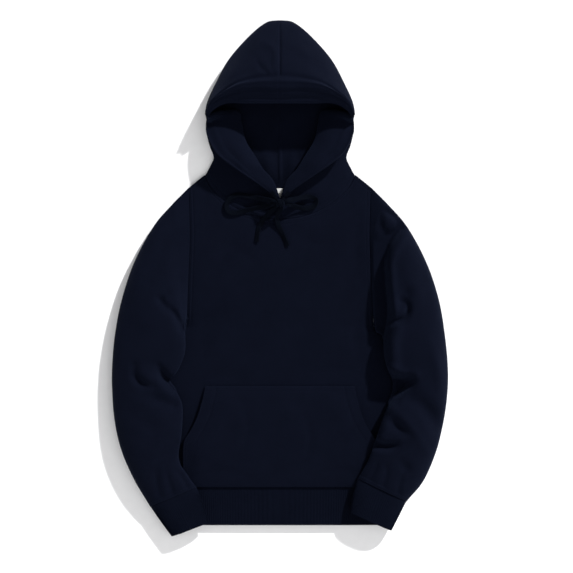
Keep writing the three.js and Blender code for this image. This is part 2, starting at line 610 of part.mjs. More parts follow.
const SLEEVE_LEVELS = Array.from({ length: TUBE_POINTS / 2 + 1 }, (_, k) => armholeY(tubeAcross(tubeAngle(k))));
const LOW_LEVELS = [
  HEM_SEAM_Y + SEAM_GAP / 2, -400, -370, -330, -285, -240, -208, -180, -158, -142, -128, -116, -106, -98,
];

add('front_panel', bodyPanel({
  drop: NECK.frontDrop,
  height: (x, y) => Math.max(frontHeight(x, y), SEAM_HEIGHT),
  face: 1,
  levels: [...LOW_LEVELS, ...SLEEVE_LEVELS],
  sides: [0.86, 0.91, 0.95, 0.98, 1],
}), 'cloth');
add('back_panel', bodyPanel({
  drop: NECK.backDrop,
  height: () => 0,
  face: -1,
  levels: [...LOW_LEVELS.filter((_, k) => k % 2 === 0), ...SLEEVE_LEVELS],
  sides: [0.9, 1],
}), 'cloth');
add('hem_band', hemBand(), 'rib');
add('pocket', pocket(), 'cloth');
for (const [side, sign] of [['right', -1], ['left', 1]]) {
  for (const [part, places] of Object.entries(SLEEVE_PARTS)) {
    add(`${part}_${side}`, sleeve(side, sign, places), 'cloth');
  }
  add(`cuff_${side}`, cuff(side, sign), 'rib');
  for (const [part, steps] of Object.entries(HOOD_PARTS)) {
    add(`${part}_${side}`, hoodPanel(sign, steps), 'cloth');
  }
}
add('neck_label', label(), 'label');
add('drawcord_knot', knot(), 'cord');
for (const [name, stretch] of Object.entries(CORD_ROUTES)) add(name, cord(stretch), 'cord');

// The origin is the middle of the garment's own box, on the surface that it lies on.
const garment = new THREE.Box3();
const cloths = hoodie.children.filter((mesh) => !mesh.name.startsWith('drawcord'));
cloths.forEach((mesh) => garment.expandByObject(mesh));
hoodie.position.set(-(garment.min.x + garment.max.x) / 2, -(garment.min.y + garment.max.y) / 2, 0);

export default hoodie;
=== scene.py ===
"""A pullover hoodie lying on its back, dressed in fleece, rib knit and a flat drawcord.

Tables and routes are in millimetres, as the garment was measured. Meshes are in metres, in the
frame's own place: X to the right of the picture, Y from hem to hood, Z up from the floor.
"""

from __future__ import annotations

import itertools
import logging
import math
from contextlib import contextmanager
from dataclasses import dataclass, field
from enum import Enum
from typing import Callable, Iterator, NamedTuple, Sequence

import bpy
import numpy as np
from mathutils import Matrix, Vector

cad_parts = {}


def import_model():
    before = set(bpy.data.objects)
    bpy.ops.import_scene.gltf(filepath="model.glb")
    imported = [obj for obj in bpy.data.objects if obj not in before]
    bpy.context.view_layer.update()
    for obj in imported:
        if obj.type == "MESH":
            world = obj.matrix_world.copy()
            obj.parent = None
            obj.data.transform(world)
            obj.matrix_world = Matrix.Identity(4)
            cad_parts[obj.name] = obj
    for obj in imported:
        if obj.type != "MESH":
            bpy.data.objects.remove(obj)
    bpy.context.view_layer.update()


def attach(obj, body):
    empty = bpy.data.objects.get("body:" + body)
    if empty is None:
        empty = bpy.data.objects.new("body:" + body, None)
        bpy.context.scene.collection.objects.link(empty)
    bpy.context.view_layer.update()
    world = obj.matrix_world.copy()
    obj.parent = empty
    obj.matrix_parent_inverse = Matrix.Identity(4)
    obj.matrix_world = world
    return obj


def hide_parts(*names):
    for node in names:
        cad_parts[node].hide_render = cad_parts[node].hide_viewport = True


LOG = logging.getLogger("hoodie")
Array = np.ndarray
Point = tuple[float, float]
Place = tuple[float, float, float]

# A millimetre in metres, and the way from the measured places to the frame's
MM = 0.001
SHIFT = np.array([0.024, -0.504, 0.0])

# Walls, gaps and seams
CLOTH = 3.0
POCKET_CLOTH = 2.4
LAYER_GAP = 0.9
SEAM_GAP = 0.3
SEAM_HEIGHT = 2 * CLOTH + SEAM_GAP
SEAM_TOLERANCE = 0.02
SEAM_ROWS = (2.0, 7.5)
DIP_WIDTH = 3.0
ROLL_SHARE = 0.5
ROLL_AWAY = 1.5
ROLL_WIDTH = 2.2

# Landmarks of the body
HEM_SEAM_Y = -418.0
HEM_END_Y = -494.0
UNDERARM_Y = -92.0
SHOULDER_TIP = (183.0, 182.0)
NECK_HALF = 150.0
NECK_Y = 208.0
NECK_FRONT_DROP = 89.0
NECK_BACK_DROP = 17.0
NECK_CURVE = 1.33
POCKET_OPEN_FROM = -326.0

# Where a sleeve leaves its armhole's line, how it eases off the body, and its notches' floor
SLEEVE_START = 0.06
SLEEVE_REACHES = (11.0, 12.5, 14.0, 15.5, 17.0, 18.5)
NOTCH_FLOOR = 17.0

# The drawcord, a flat tape that narrows and thickens into its knot
KNOT_CENTRE = np.array([0.0, 150.0, 47.0])
KNOT_HALF = np.array([10.0, 8.5, 8.0])
TAPE_WIDTH = 10.0
TAPE_THICK = 2.6
TAPE_WIDTH_AT_KNOT = 6.0
TAPE_THICK_AT_KNOT = 4.0

# The squareness of a flattened tube across its folds and over its crown
FOLD_CURVE = 0.85
CROWN_CURVE = 0.8

# The ribs' columns and grooves, and how the panels' rows crowd towards the neck
RIB_COLUMNS = 4
RIB_DEPTH = 0.7
ROW_CROWDING = 1.25

# Points on each span of a cord's route and of a crease's line
ROUTE_PIECES = 40
CREASE_PIECES = 6

# A wave texture's period at a scale of 1, the mesh attribute of a relief, and small limits
WAVE_PERIOD = 0.314
RELIEF = "relief"
SMOOTH_ANGLE = math.radians(50)
MERGE_DISTANCE = 1e-6
AT_FOLD = 1e-6


class Side(Enum):
    """The wearer's two sides, by the sign of X."""

    RIGHT = -1
    LEFT = 1

    @property
    def word(self) -> str:
        """The side's name in a piece's name."""
        return self.name.lower()


class Edge(Enum):
    """The four edges of a sheet's grid of points."""

    FIRST_ROW = "first_row"
    LAST_ROW = "last_row"
    FIRST_COLUMN = "first_column"
    LAST_COLUMN = "last_column"

    @property
    def in_rows(self) -> bool:
        """Whether the edge is a row of the grid."""
        return self in (Edge.FIRST_ROW, Edge.LAST_ROW)

    @property
    def at_end(self) -> bool:
        """Whether the edge is the last of its kind."""
        return self in (Edge.LAST_ROW, Edge.LAST_COLUMN)

    def facing(self, grid: Array) -> Array:
        """Turns a grid so that this edge is its first row."""
        turned = grid if self.in_rows else grid.swapaxes(0, 1)
        return turned[::-1] if self.at_end else turned

    def restored(self, grid: Array) -> Array:
        """Turns such a grid back."""
        turned = grid[::-1] if self.at_end else grid
        return turned if self.in_rows else turned.swapaxes(0, 1)

    def away(self, points: Array) -> Array:
        """Distance of each place from this edge, along the grid's lines."""
        return self.restored(arc_lengths(self.facing(points)))


def mix(low: Array | float, high: Array | float, share: Array | float) -> Array:
    """Goes from one value, at a share of 0, to another, at a share of 1."""
    return low + (high - low) * share


def ease(share: Array | float) -> Array:
    """Smooth step of a share from 0 to 1."""
    held = np.clip(share, 0.0, 1.0)
    return held * held * (3.0 - 2.0 * held)


def hump(values: Array, middle: float, width: float) -> Array:
    """A smooth bump of height 1 round a middle."""
    return np.exp(-(((values - middle) / width) ** 2))


def squared_off(values: Array, power: float) -> Array:
    """Signed power, which squares off a circle's sine or cosine where it is below 1."""
    return np.sign(values) * np.abs(values) ** power


def hermite(share: Array, start: Array, slope_in: Array, end: Array, slope_out: Array) -> Array:
    """Goes from one value to another on a cubic.

    Args:
        share: Shares of the way, from 0 to 1.
        start: Value at the start.
        slope_in: Slope at the start, over the whole way.
        end: Value at the end.
        slope_out: Slope at the end, over the whole way.

    Returns:
        The values at the shares.
    """
    square, cube = share**2, share**3
    first = (2 * cube - 3 * square + 1) * start + (cube - 2 * square + share) * slope_in
    return first + (3 * square - 2 * cube) * end + (cube - square) * slope_out


def arc_lengths(points: Array, axis: int = 0) -> Array:
    """Measures a line, or a grid's lines along one of its directions.

    Args:
        points: The points of the line or grid.
        axis: The direction in which the lines run.

    Returns:
        The running length at each point, from its line's start.
    """
    steps = np.linalg.norm(np.diff(points, axis=axis), axis=-1)
    lead = [(0, 0)] * steps.ndim
    lead[axis] = (1, 0)
    return np.cumsum(np.pad(steps, lead), axis=axis)


def read_line(spots: Array, run: Array, values: Array) -> Array:
    """Reads a line's places or directions, one row of values for each spot on its run."""
    return np.stack([np.interp(spots, run, values[:, k]) for k in range(3)], axis=1)


def grid_normals(points: Array) -> Array:
    """Outward directions at a grid's points."""
    normals = np.cross(np.gradient(points, axis=1), np.gradient(points, axis=0))
    return normals / np.maximum(np.linalg.norm(normals, axis=-1), 1e-9)[..., None]


@dataclass(frozen=True)
class Track:
    """A smooth curve through a table's values, one value for each key."""

    keys: tuple[float, ...]

    def weights(self, at: Array) -> Array:
        """Shares of the table's values at some places.

        Args:
            at: Places along the keys.

        Returns:
            One row of shares for each place.
        """
        keys = np.asarray(self.keys, float)
        values = np.eye(len(keys))
        slopes = np.empty_like(values)
        slopes[1:-1] = (values[2:] - values[:-2]) / (keys[2:] - keys[:-2])[:, None]
        slopes[0] = (values[1] - values[0]) / (keys[1] - keys[0])
        slopes[-1] = (values[-1] - values[-2]) / (keys[-1] - keys[-2])
        flat = np.clip(np.ravel(at), keys[0], keys[-1])
        k = np.clip(np.searchsorted(keys, flat, side="right") - 1, 0, len(keys) - 2)
        span = (keys[k + 1] - keys[k])[:, None]
        share = (flat - keys[k])[:, None] / span
        return hermite(share, values[k], span * slopes[k], values[k + 1], span * slopes[k + 1])

    def follow(self, values: Sequence[float], at: Array) -> Array:
        """Reads the curve through some values at some places."""
        return (self.weights(at) @ np.asarray(values, float)).reshape(np.shape(at))


class BodyRow(NamedTuple):
    """A section of the body at a Y: half its width, and its heights at the sides and the middle."""

    y: float
    half: float
    side: float
    middle: float


class PocketRow(NamedTuple):
    """A section of the pocket at a Y: half its width."""

    y: float
    half: float


class TubeRow(NamedTuple):
    """A section of a sleeve or cuff at a share of its length.

    It runs from the fold nearer the body to the outer fold, each with its X, Y and height. The top
    is the height between them.
    """

    at: float
    in_x: float
    in_y: float
    out_x: float
    out_y: float
    in_z: float
    out_z: float
    top: float


class HoodRow(NamedTuple):
    """A section of a hood half at a share of the way from the throat to the crown's seam.

    It runs from the opening's edge over its crest to the hood's outline, and turns there to the
    foot, from where the inside lies on to the neck.
    """

    at: float
    edge: Place
    crest: Place
    outline: Place
    foot: Place


def table(kind: type, *rows: tuple) -> tuple:
    """Gives the rows of a table their columns' names."""
    return tuple(kind(*row) for row in rows)


def read_column(rows: Sequence[NamedTuple], name: str, at: Array) -> Array:
    """Reads one column of a table, by its name, between the keys of the first."""
    return Track(tuple(row[0] for row in rows)).follow([getattr(row, name) for row in rows], at)


BODY_ROWS = table(
    BodyRow,
    (-500, 211, 6.3, 12.5),
    (-418, 214, 6.3, 13.5),
    (-370, 222, 6.3, 15),
    (-300, 229, 6.3, 16),
    (-220, 234, 6.3, 16),
    (-176, 231, 6.3, 16.5),
    (-142, 224, 6.3, 17),
    (-122, 214, 6.3, 17),
    (-108, 202, 6.3, 17),
    (-98, 189.5, 6.3, 17),
    (-92, 187, 6.8, 17.1),
    (-50, 185, 12, 17.6),
    (0, 183, 15, 18.5),
    (80, 180, 15, 18.5),
    (130, 181, 12, 17.5),
    (182, 183, 6.3, 12),
    (212, 184, 6.3, 6.3),
)
POCKET_ROWS = table(
    PocketRow,
    (-417.6, 193),
    (-380, 194),
    (-326, 192),
    (-302, 178),
    (-278, 166),
    (-246, 156),
    (-215, 149),
)
POCKET_LOW_Y = POCKET_ROWS[0].y
POCKET_TOP_Y = POCKET_ROWS[-1].y
SLEEVE_ROWS = {
    Side.RIGHT: table(
        TubeRow,
        (0.06, 190, -107, 212, 153, 16, 9, 25),
        (0.13, 189, -120, 250, 109, 22, 12, 37),
        (0.23, 190, -148, 291, 34, 27, 15, 46),
        (0.33, 204, -184, 317, -44, 28, 17, 48),
        (0.42, 220, -206, 330, -112, 28, 18, 48),
        (0.49, 207, -225, 335, -165, 29, 18, 48),
        (0.56, 195, -252, 336, -212, 30, 18, 48),
        (0.67, 196, -306, 331, -282, 30, 18, 48),
        (0.79, 202, -360, 317, -344, 29, 17, 45),
        (0.9, 183, -394, 291, -404, 28, 15, 42),
        (1, 167, -417, 260, -456, 25, 13, 36),
    ),
    Side.LEFT: table(
        TubeRow,
        (0.06, 192, -107, 214, 151, 17, 9, 36),
        (0.13, 205, -116, 252, 107, 25, 12, 52),
        (0.23, 207, -150, 292, 34, 31, 15, 58),
        (0.33, 214, -180, 318, -44, 32, 17, 58),
        (0.42, 225, -205, 331, -124, 31, 18, 56),
        (0.5, 222, -236, 336, -190, 32, 18, 55),
        (0.58, 206, -276, 333, -246, 34, 18, 56),
        (0.69, 189, -326, 323, -306, 34, 18, 54),
        (0.8, 176, -362, 308, -358, 32, 17, 50),
        (0.9, 165, -382, 285, -408, 30, 15, 46),
        (1, 155, -399, 253, -446, 27, 13, 40),
    ),
}
CUFF_ROWS = {
    Side.RIGHT: table(
        TubeRow,
        (0, 166.8, -417.4, 259.6, -456.5, 24, 13, 34),
        (0.5, 152, -453, 238, -487.5, 23, 13, 34),
        (1, 141, -487, 217, -516, 21, 13, 33),
    ),
    Side.LEFT: table(
        TubeRow,
        (0, 154.8, -399.5, 252.3, -446.6, 25, 14, 37),
        (0.5, 145, -434, 237, -477, 25, 16, 40),
        (1, 139, -466, 223, -504, 24, 17, 39),
    ),
}
HOOD_ROWS = table(
    HoodRow,
    (0, (0.2, 157, 38), (0.2, 151, 35), (0.2, 141, 28), (0.2, 130, 20)),
    (0.12, (31, 179, 42), (15, 192, 35), (28, 174, 24), (42, 148, 18.5)),
    (0.24, (66, 203, 46), (36, 217, 36), (60, 198, 22), (86, 170, 18)),
    (0.38, (100, 226, 48), (54, 246, 30), (92, 224, 19), (122, 202, 14)),
    (0.5, (124, 246, 46), (68, 268, 25), (116, 248, 17), (136, 228, 8)),
    (0.6, (138, 268, 41), (76, 290, 20), (136, 264, 13), (132, 244, 3.4)),
    (0.68, (147, 290, 34), (80, 312, 16), (144, 288, 12), (134, 266, 2)),
    (0.74, (148, 306, 28), (88, 334, 15), (147, 304, 14), (134, 286, 0)),
    (0.76, (147.5, 311, 31), (118, 333, 24), (147.5, 311, 15), (133, 294, 0)),
    (0.78, (145, 317, 44), (146.5, 323, 47), (147, 322, 18), (132, 304, 0)),
    (0.82, (131, 334, 58), (138, 347, 64), (145, 349, 24), (124, 334, 0)),
    (0.87, (105, 346, 62), (113, 367, 76), (129, 388, 26), (104, 364, 0)),
    (0.92, (68, 346, 63), (79, 383, 83), (102, 438, 26), (78, 408, 0)),
    (0.96, (34, 346, 64), (40, 389, 85), (60, 484, 24), (44, 454, 0)),
    (0.985, (13, 346, 64), (15, 390, 86), (27, 507, 21), (19, 481, 0)),
    (1, (0.2, 346, 64), (0.2, 391, 86), (0.2, 510, 20), (0.2, 486, 0)),
)


def catmull_rom(corners: Array, pieces: int) -> Array:
    """Centripetal curve through corners.

    Args:
        corners: The corners, in order.
        pieces: Points on each span.

    Returns:
        The curve's points.
    """
    padded = np.vstack([2 * corners[0] - corners[1], corners, 2 * corners[-1] - corners[-2]])
    share = np.linspace(0.0, 1.0, pieces, endpoint=False)[:, None]
    found: list[Array] = []
    for k in range(len(corners) - 1):
        near = padded[k : k + 4]
        steps = np.diff(near, axis=0)
        gaps = np.maximum(np.linalg.norm(steps, axis=1) ** 0.5, 1e-4)[:, None]
        chords = steps / gaps
        wide = (near[2:] - near[:-2]) / (gaps[:-1] + gaps[1:])
        slopes = (chords[:-1] - wide + chords[1:]) * gaps[1]
        found.append(hermite(share, near[1], slopes[0], near[2], slopes[1]))
    return np.vstack([*found, corners[-1:]])


@dataclass(frozen=True)
class Crease:
    """A soft trough or ridge along a line of places in plan.

    A positive depth lowers the cloth and a negative one raises it. The crease is faint at its
    first place, where first says so, and at its last, where last says so.
    """

    line: tuple[Point, ...]
    width: float
    depth: float
    first: float = 0.6
    last: float = 0.25

    def drop(self, x: Array, y: Array) -> Array:
        """How far the crease lowers the cloth.

        Args:
            x: X of each place, outward on a sleeve.
            y: Y of each place.

        Returns:
            The drop at each place, in millimetres.
        """
        corners = catmull_rom(np.asarray(self.line, float), CREASE_PIECES)
        spans = corners[1:] - corners[:-1]
        lengths = np.hypot(spans[:, 0], spans[:, 1])
        nearest = np.full(np.shape(x), np.inf)
        along = np.zeros(np.shape(x))
        run = 0.0
        for corner, span, length in zip(corners[:-1], spans, lengths):
            part = ((x - corner[0]) * span[0] + (y - corner[1]) * span[1]) / length**2
            held = np.clip(part, 0.0, 1.0)
            off = np.hypot(x - corner[0] - held * span[0], y - corner[1] - held * span[1])
            along = np.where(off < nearest, (run + held * length) / lengths.sum(), along)
            nearest = np.minimum(nearest, off)
            run += length
        rising = mix(self.first, 1.0, ease(2 * along))
        fading = mix(1.0, self.last, ease(2 * along - 1))
        return self.depth * np.where(along < 0.5, rising, fading) * hump(nearest, 0.0, self.width)


def dropped(creases: Sequence[Crease], x: Array, y: Array) -> Array:
    """Sums the drops of several creases.

    Args:
        creases: The creases.
        x: X of each place, outward on a sleeve.
        y: Y of each place.

    Returns:
        The drop at each place, in millimetres.
    """
    total = np.zeros(np.shape(x))
    for crease in creases:
        total = total + crease.drop(x, y)
    return total


@dataclass(frozen=True)
class Body:
    """The plan and the heights of the garment's body, on which the rest lies."""

    side_curve: float = 5.0
    flat_roundness: float = 0.5
    armhole_lead: float = 50.0
    armhole_length: float = 110.0
    pocket_puff: float = 7.0
    puff_curve: float = 0.55
    sewn_lead: float = 14.0
    sewn_fade: float = 60.0
    sewn_share: float = 0.2

    def half(self, y: Array) -> Array:
        """Half width of the body."""
        return read_column(BODY_ROWS, "half", y)

    def pocket_half(self, y: Array) -> Array:
        """Half width of the pocket."""
        return read_column(POCKET_ROWS, "half", y)

    def front_height(self, x: Array, y: Array) -> Array:
        """Height of the front's outer face, without its creases.

        Args:
            x: X of each place.
            y: Y of each place.

        Returns:
            The height at each place.
        """
        across = np.clip(np.abs(x) / self.half(y), 0.0, 1.0)
        side = read_column(BODY_ROWS, "side", y)
        up = (y - UNDERARM_Y + self.armhole_lead) / self.armhole_length
        roundness = mix(self.flat_roundness, 1.0, ease(up))
        swell = read_column(BODY_ROWS, "middle", y) - side
        return side + swell * (1 - across**self.side_curve) ** roundness

    def pocket_slack(self, across: Array, y: Array) -> Array:
        """Height of the pocket above the front, most at its hand openings.

        Args:
            across: Share of the pocket's half width, from its middle.
            y: Y of each place.

        Returns:
            The height at each place.
        """
        up = (y - POCKET_LOW_Y) / (POCKET_TOP_Y - POCKET_LOW_Y)
        middle = np.sin(np.pi * np.clip(up, 0.0, 1.0)) ** self.puff_curve
        below = ease((POCKET_OPEN_FROM + self.sewn_lead - y) / self.sewn_fade)
        beside = ease((across - (1 - self.sewn_share)) / self.sewn_share)
        return self.pocket_puff * middle * (1 - below * beside)

    def cover_height(self, x: Array, y: Array) -> Array:
        """Top of the front, its pocket or the hem, and nothing beside them.

        Args:
            x: X of each place.
            y: Y of each place.

        Returns:
            The height at each place, 0 beside the body.
        """
        off = np.abs(x)
        on_pocket = (y <= POCKET_TOP_Y) & (off <= self.pocket_half(y))
        slack = self.pocket_slack(off / self.pocket_half(y), y)
        lift = np.where(on_pocket, LAYER_GAP + POCKET_CLOTH + slack, 0.0)
        beside = (y > UNDERARM_Y) | (y < HEM_END_Y) | (off > self.half(y))
        return np.where(beside, 0.0, self.front_height(x, y) + lift)

    def resting_height(self, x: Array, y: Array) -> Array:
        """Height on which a sleeve or cuff lies, easing down beyond the edge of what it lies on.

        Args:
            x: X of each place.
            y: Y of each place.

        Returns:
            The height at each place.
        """
        total = np.zeros(np.shape(x))
        for reach in SLEEVE_REACHES:
            highest = np.zeros(np.shape(x))
            for dx, dy in itertools.product((-reach, 0.0, reach), repeat=2):
                highest = np.maximum(highest, self.cover_height(x + dx, y + dy))
            total = total + np.where(highest > 0, highest + LAYER_GAP, 0.0)
        return total / len(SLEEVE_REACHES)

    def ring_height(self, turn: Array, x: Array, y: Array) -> Array:
        """Height of a seam's ring, on the front's face or on the floor, with a fold between them.

        Args:
            turn: Above 0 on the front, below 0 on the back and 0 at the folds.
            x: X of each place.
            y: Y of each place.

        Returns:
            The height at each place.
        """
        z = np.where(turn > 0, self.front_height(x, y), 0.0)
        return np.where(np.abs(turn) < AT_FOLD, SEAM_HEIGHT / 2, z)

    def top_edge(self, x: Array, drop: float) -> Array:
        """Upper edge of a panel: the neck curve, then the shoulder seam.

        Args:
            x: X of each place.
            drop: How far the neck curve drops at its middle.

        Returns:
            The edge's Y at each place.
        """
        off = np.abs(x)
        inside = np.clip(1 - (off / NECK_HALF) ** 2, 0.0, 1.0)
        slope = (off - NECK_HALF) / (SHOULDER_TIP[0] - NECK_HALF)
        neck = NECK_Y - drop * inside ** (NECK_CURVE / 2)
        return np.where(off < NECK_HALF, neck, mix(NECK_Y, SHOULDER_TIP[1], slope))


BODY = Body()


def deselect() -> None:
    """Leaves nothing selected."""
    bpy.ops.object.select_all(action="DESELECT")


@contextmanager
def editing() -> Iterator[None]:
    """Edit mode with all of the piece selected, and object mode after it."""
    bpy.ops.object.mode_set(mode="EDIT")
    bpy.ops.mesh.select_all(action="SELECT")
    yield
    bpy.ops.object.mode_set(mode="OBJECT")


@dataclass
class Sheet:
    """Cloth or tape laid on a grid of points, with its flat layout as a UV map in metres.

    A sheet with a thickness gets a wall to its inside. One without is a solid tube, closed at both
    ends. Relief moves the outer face alone, over a plain inside. A halved sheet ends square on the
    middle plane, where its twin begins.
    """

    name: str
    points: Array
    material: bpy.types.Material
    thick: float | None = CLOTH
    closed: bool = False
    relief: Array | None = None
    halved: bool = False

    def build(self) -> bpy.types.Object:
        """Adds a grid, lays it on the points and gives it its thickness.

        Returns:
            The finished piece.
        """
        rows, columns, _ = self.points.shape
        deselect()
        bpy.ops.mesh.primitive_grid_add(x_subdivisions=columns - 1, y_subdivisions=rows - 1, size=1.0)
        piece = bpy.context.object
        piece.name = self.name
        piece.data.name = self.name
        placed = (self.points + SHIFT) * MM
        piece.data.vertices.foreach_set("co", placed.astype(np.float32).ravel())
        self._lay_flat(piece.data, placed)
        if self.relief is not None:
            raised = piece.data.attributes.new(RELIEF, "FLOAT_VECTOR", "POINT")
            raised.data.foreach_set("vector", (self.relief * MM).astype(np.float32).ravel())
        if self.closed:
            with editing():
                bpy.ops.mesh.remove_doubles(threshold=MERGE_DISTANCE)
        if self.thick is None:
            self._cap()
        else:
            self._thicken(piece)
        bpy.ops.object.shade_smooth_by_angle(angle=SMOOTH_ANGLE)
        piece.data.materials.append(self.material)
        return piece

    def _lay_flat(self, mesh: bpy.types.Mesh, placed: Array) -> None:
        """Sets the UV map to the cloth's own lengths in metres.

        Args:
            mesh: The grid's mesh.
            placed: Its points, in metres.
        """
        across = arc_lengths(placed, 1)
        across -= across[:, across.shape[1] // 2][:, None]
        along = np.broadcast_to(arc_lengths(placed).mean(axis=1)[:, None], across.shape)
        corners = np.zeros(len(mesh.loops), np.int32)
        mesh.loops.foreach_get("vertex_index", corners)
        flat = np.stack([across.ravel()[corners], along.ravel()[corners]], axis=1)
        mesh.uv_layers[0].data.foreach_set("uv", flat.astype(np.float32).ravel())

    def _cap(self) -> None:
        """Closes a tube's two ends."""
        with editing():
            bpy.ops.mesh.region_to_loop()
            bpy.ops.mesh.edge_face_add()
            bpy.ops.mesh.select_all(action="SELECT")
            bpy.ops.mesh.normals_make_consistent(inside=False)

    def _thicken(self, piece: bpy.types.Object) -> None:
        """Gives the sheet a wall to its inside, then raises the outer face.

        Args:
            piece: The sheet's piece.
        """
        outer = len(piece.data.vertices)
        wall = piece.modifiers.new("wall", "SOLIDIFY")
        wall.thickness = self.thick * MM
        wall.offset = -1.0
        bpy.ops.object.modifier_apply(modifier="wall")
        places = np.zeros(len(piece.data.vertices) * 3, np.float32)
        piece.data.vertices.foreach_get("co", places)
        if self.relief is not None:
            moves = np.zeros(len(places), np.float32)
            piece.data.attributes[RELIEF].data.foreach_get("vector", moves)
            places[: outer * 3] += moves[: outer * 3]
            piece.data.attributes.remove(piece.data.attributes[RELIEF])
        if self.halved:
            self._square_off(places, outer)
        piece.data.vertices.foreach_set("co", places)

    def _square_off(self, places: Array, outer: int) -> None:
        """Holds the wall of a halved sheet to its own side of the middle plane.

        Args:
            places: The wall's coordinates in a row, which are changed in place.
            outer: How many points its outer face has.
        """
        x = places.reshape(-1, 3)[:, 0]
        middle = SHIFT[0] * MM
        side = math.copysign(1.0, x[:outer].mean() - middle)
        at_seam = np.abs(x[:outer] - middle) < SEAM_TOLERANCE * MM
        x[:outer][at_seam] = middle
        x[outer : 2 * outer][at_seam] = middle
        x[:] = np.where((x - middle) * side < 0, middle, x)


@dataclass(frozen=True)
class Seam:
    """A row of stitches beside one edge of a sheet, along a share of that edge."""

    edge: Edge
    inset: float
    start: float = 0.0
    stop: float = 1.0

    def line(self, points: Array) -> tuple[Array, Array]:
        """Places and outward directions of the row on a sheet's points.

        Args:
            points: The sheet's grid of points.

        Returns:
            The places, and the outward direction at each.
        """
        grid = self.edge.facing(points)
        normals = self.edge.facing(grid_normals(points))
        run = arc_lengths(grid)
        low = np.clip((run < self.inset).sum(axis=0) - 1, 0, len(run) - 2)
        index = np.arange(run.shape[1])
        share = ((self.inset - run[low, index]) / (run[low + 1, index] - run[low, index]))[:, None]
        places = mix(grid[low, index], grid[low + 1, index], share)
        last = len(index) - 1
        kept = slice(round(self.start * last), round(self.stop * last) + 1)
        return places[kept], normals[low, index][kept]


@dataclass(frozen=True)
class Stitching:
    """Topstitching: small thread stitches in rows along seams.

    A stitch's middle is raised by a share of its half height. None is made where the cloth faces
    the floor.
    """

    name: str
    material: bpy.types.Material
    pitch: float = 3.4
    half_length: float = 1.3
    half_width: float = 0.42
    half_height: float = 0.36
    raised: float = 0.4
    lowest_facing: float = -0.3

    def build(self, sewn: Sequence[tuple[Array, Sequence[Seam]]]) -> bpy.types.Object:
        """Models one stitch and copies it along every row.

        Args:
            sewn: Grids of points, each with its seams.

        Returns:
            The rows as one piece.
        """
        deselect()
        bpy.ops.mesh.primitive_ico_sphere_add(subdivisions=1, radius=1.0)
        piece = bpy.context.object
        piece.name = self.name
        stitch = np.asarray([vertex.co[:] for vertex in piece.data.vertices])
        stitch = stitch * (self.half_length, self.half_width, self.half_height)
        faces = np.asarray([face.vertices[:] for face in piece.data.polygons])
        frames = [self._frames(*seam.line(points)) for points, seams in sewn for seam in seams]
        middles = np.concatenate([middle for middle, _ in frames])
        turns = np.concatenate([turn for _, turn in frames])
        places = middles[:, None] + np.einsum("vk,nkj->nvj", stitch, turns)
        placed = (places.reshape(-1, 3) + SHIFT) * MM
        faces = faces + np.arange(len(middles))[:, None, None] * len(stitch)
        mesh = bpy.data.meshes.new(self.name)
        mesh.from_pydata(placed.tolist(), [], faces.reshape(-1, 3).tolist())
        mesh.shade_smooth()
        mesh.materials.append(self.material)
        piece.data = mesh
        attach(piece, "root")
        return piece

    def _frames(self, line: Array, normals: Array) -> tuple[Array, Array]:
        """Middles and directions of the stitches on one row.

        Args:
            line: The row's places.
            normals: Outward direction at each place.

        Returns:
            The middles, and for each the directions along, across and up.
        """
        run = arc_lengths(line)
        spots = np.arange(self.pitch, run[-1] - self.pitch, self.pitch)
        middle = read_line(spots, run, line)
        along = read_line(spots + self.half_length, run, line) - middle
        up = read_line(spots, run, normals)
        shown = up[:, 2] > self.lowest_facing
        along, middle, up = along[shown], middle[shown], up[shown]
        along /= np.linalg.norm(along, axis=1)[:, None]
        across = np.cross(up, along)
        across /= np.linalg.norm(across, axis=1)[:, None]
        up = np.cross(along, across)
        return middle + up * self.half_height * self.raised, np.stack([along, across, up], axis=1)


@dataclass(frozen=True)
class Shade:
    """A colour in linear light."""

    red: float
    green: float
    blue: float

    @property
    def rgba(self) -> tuple[float, float, float, float]:
        """The colour with full cover."""
        return (self.red, self.green, self.blue, 1.0)

    def times(self, factor: float) -> Shade:
        """A lighter or darker shade of the same colour."""
        return Shade(self.red * factor, self.green * factor, self.blue * factor)


NAVY = Shade(0.0026, 0.0034, 0.0077)
NAVY_RIB = Shade(0.0021, 0.0028, 0.0063)
NAVY_CORD = Shade(0.0014, 0.0019, 0.0034)
NAVY_THREAD = Shade(0.0052, 0.0066, 0.0140)
NAVY_SHINE = Shade(0.30, 0.42, 0.85)
WHITE_LABEL = Shade(0.80, 0.80, 0.78)
PALE_FLOOR = Shade(0.93, 0.93, 0.94)


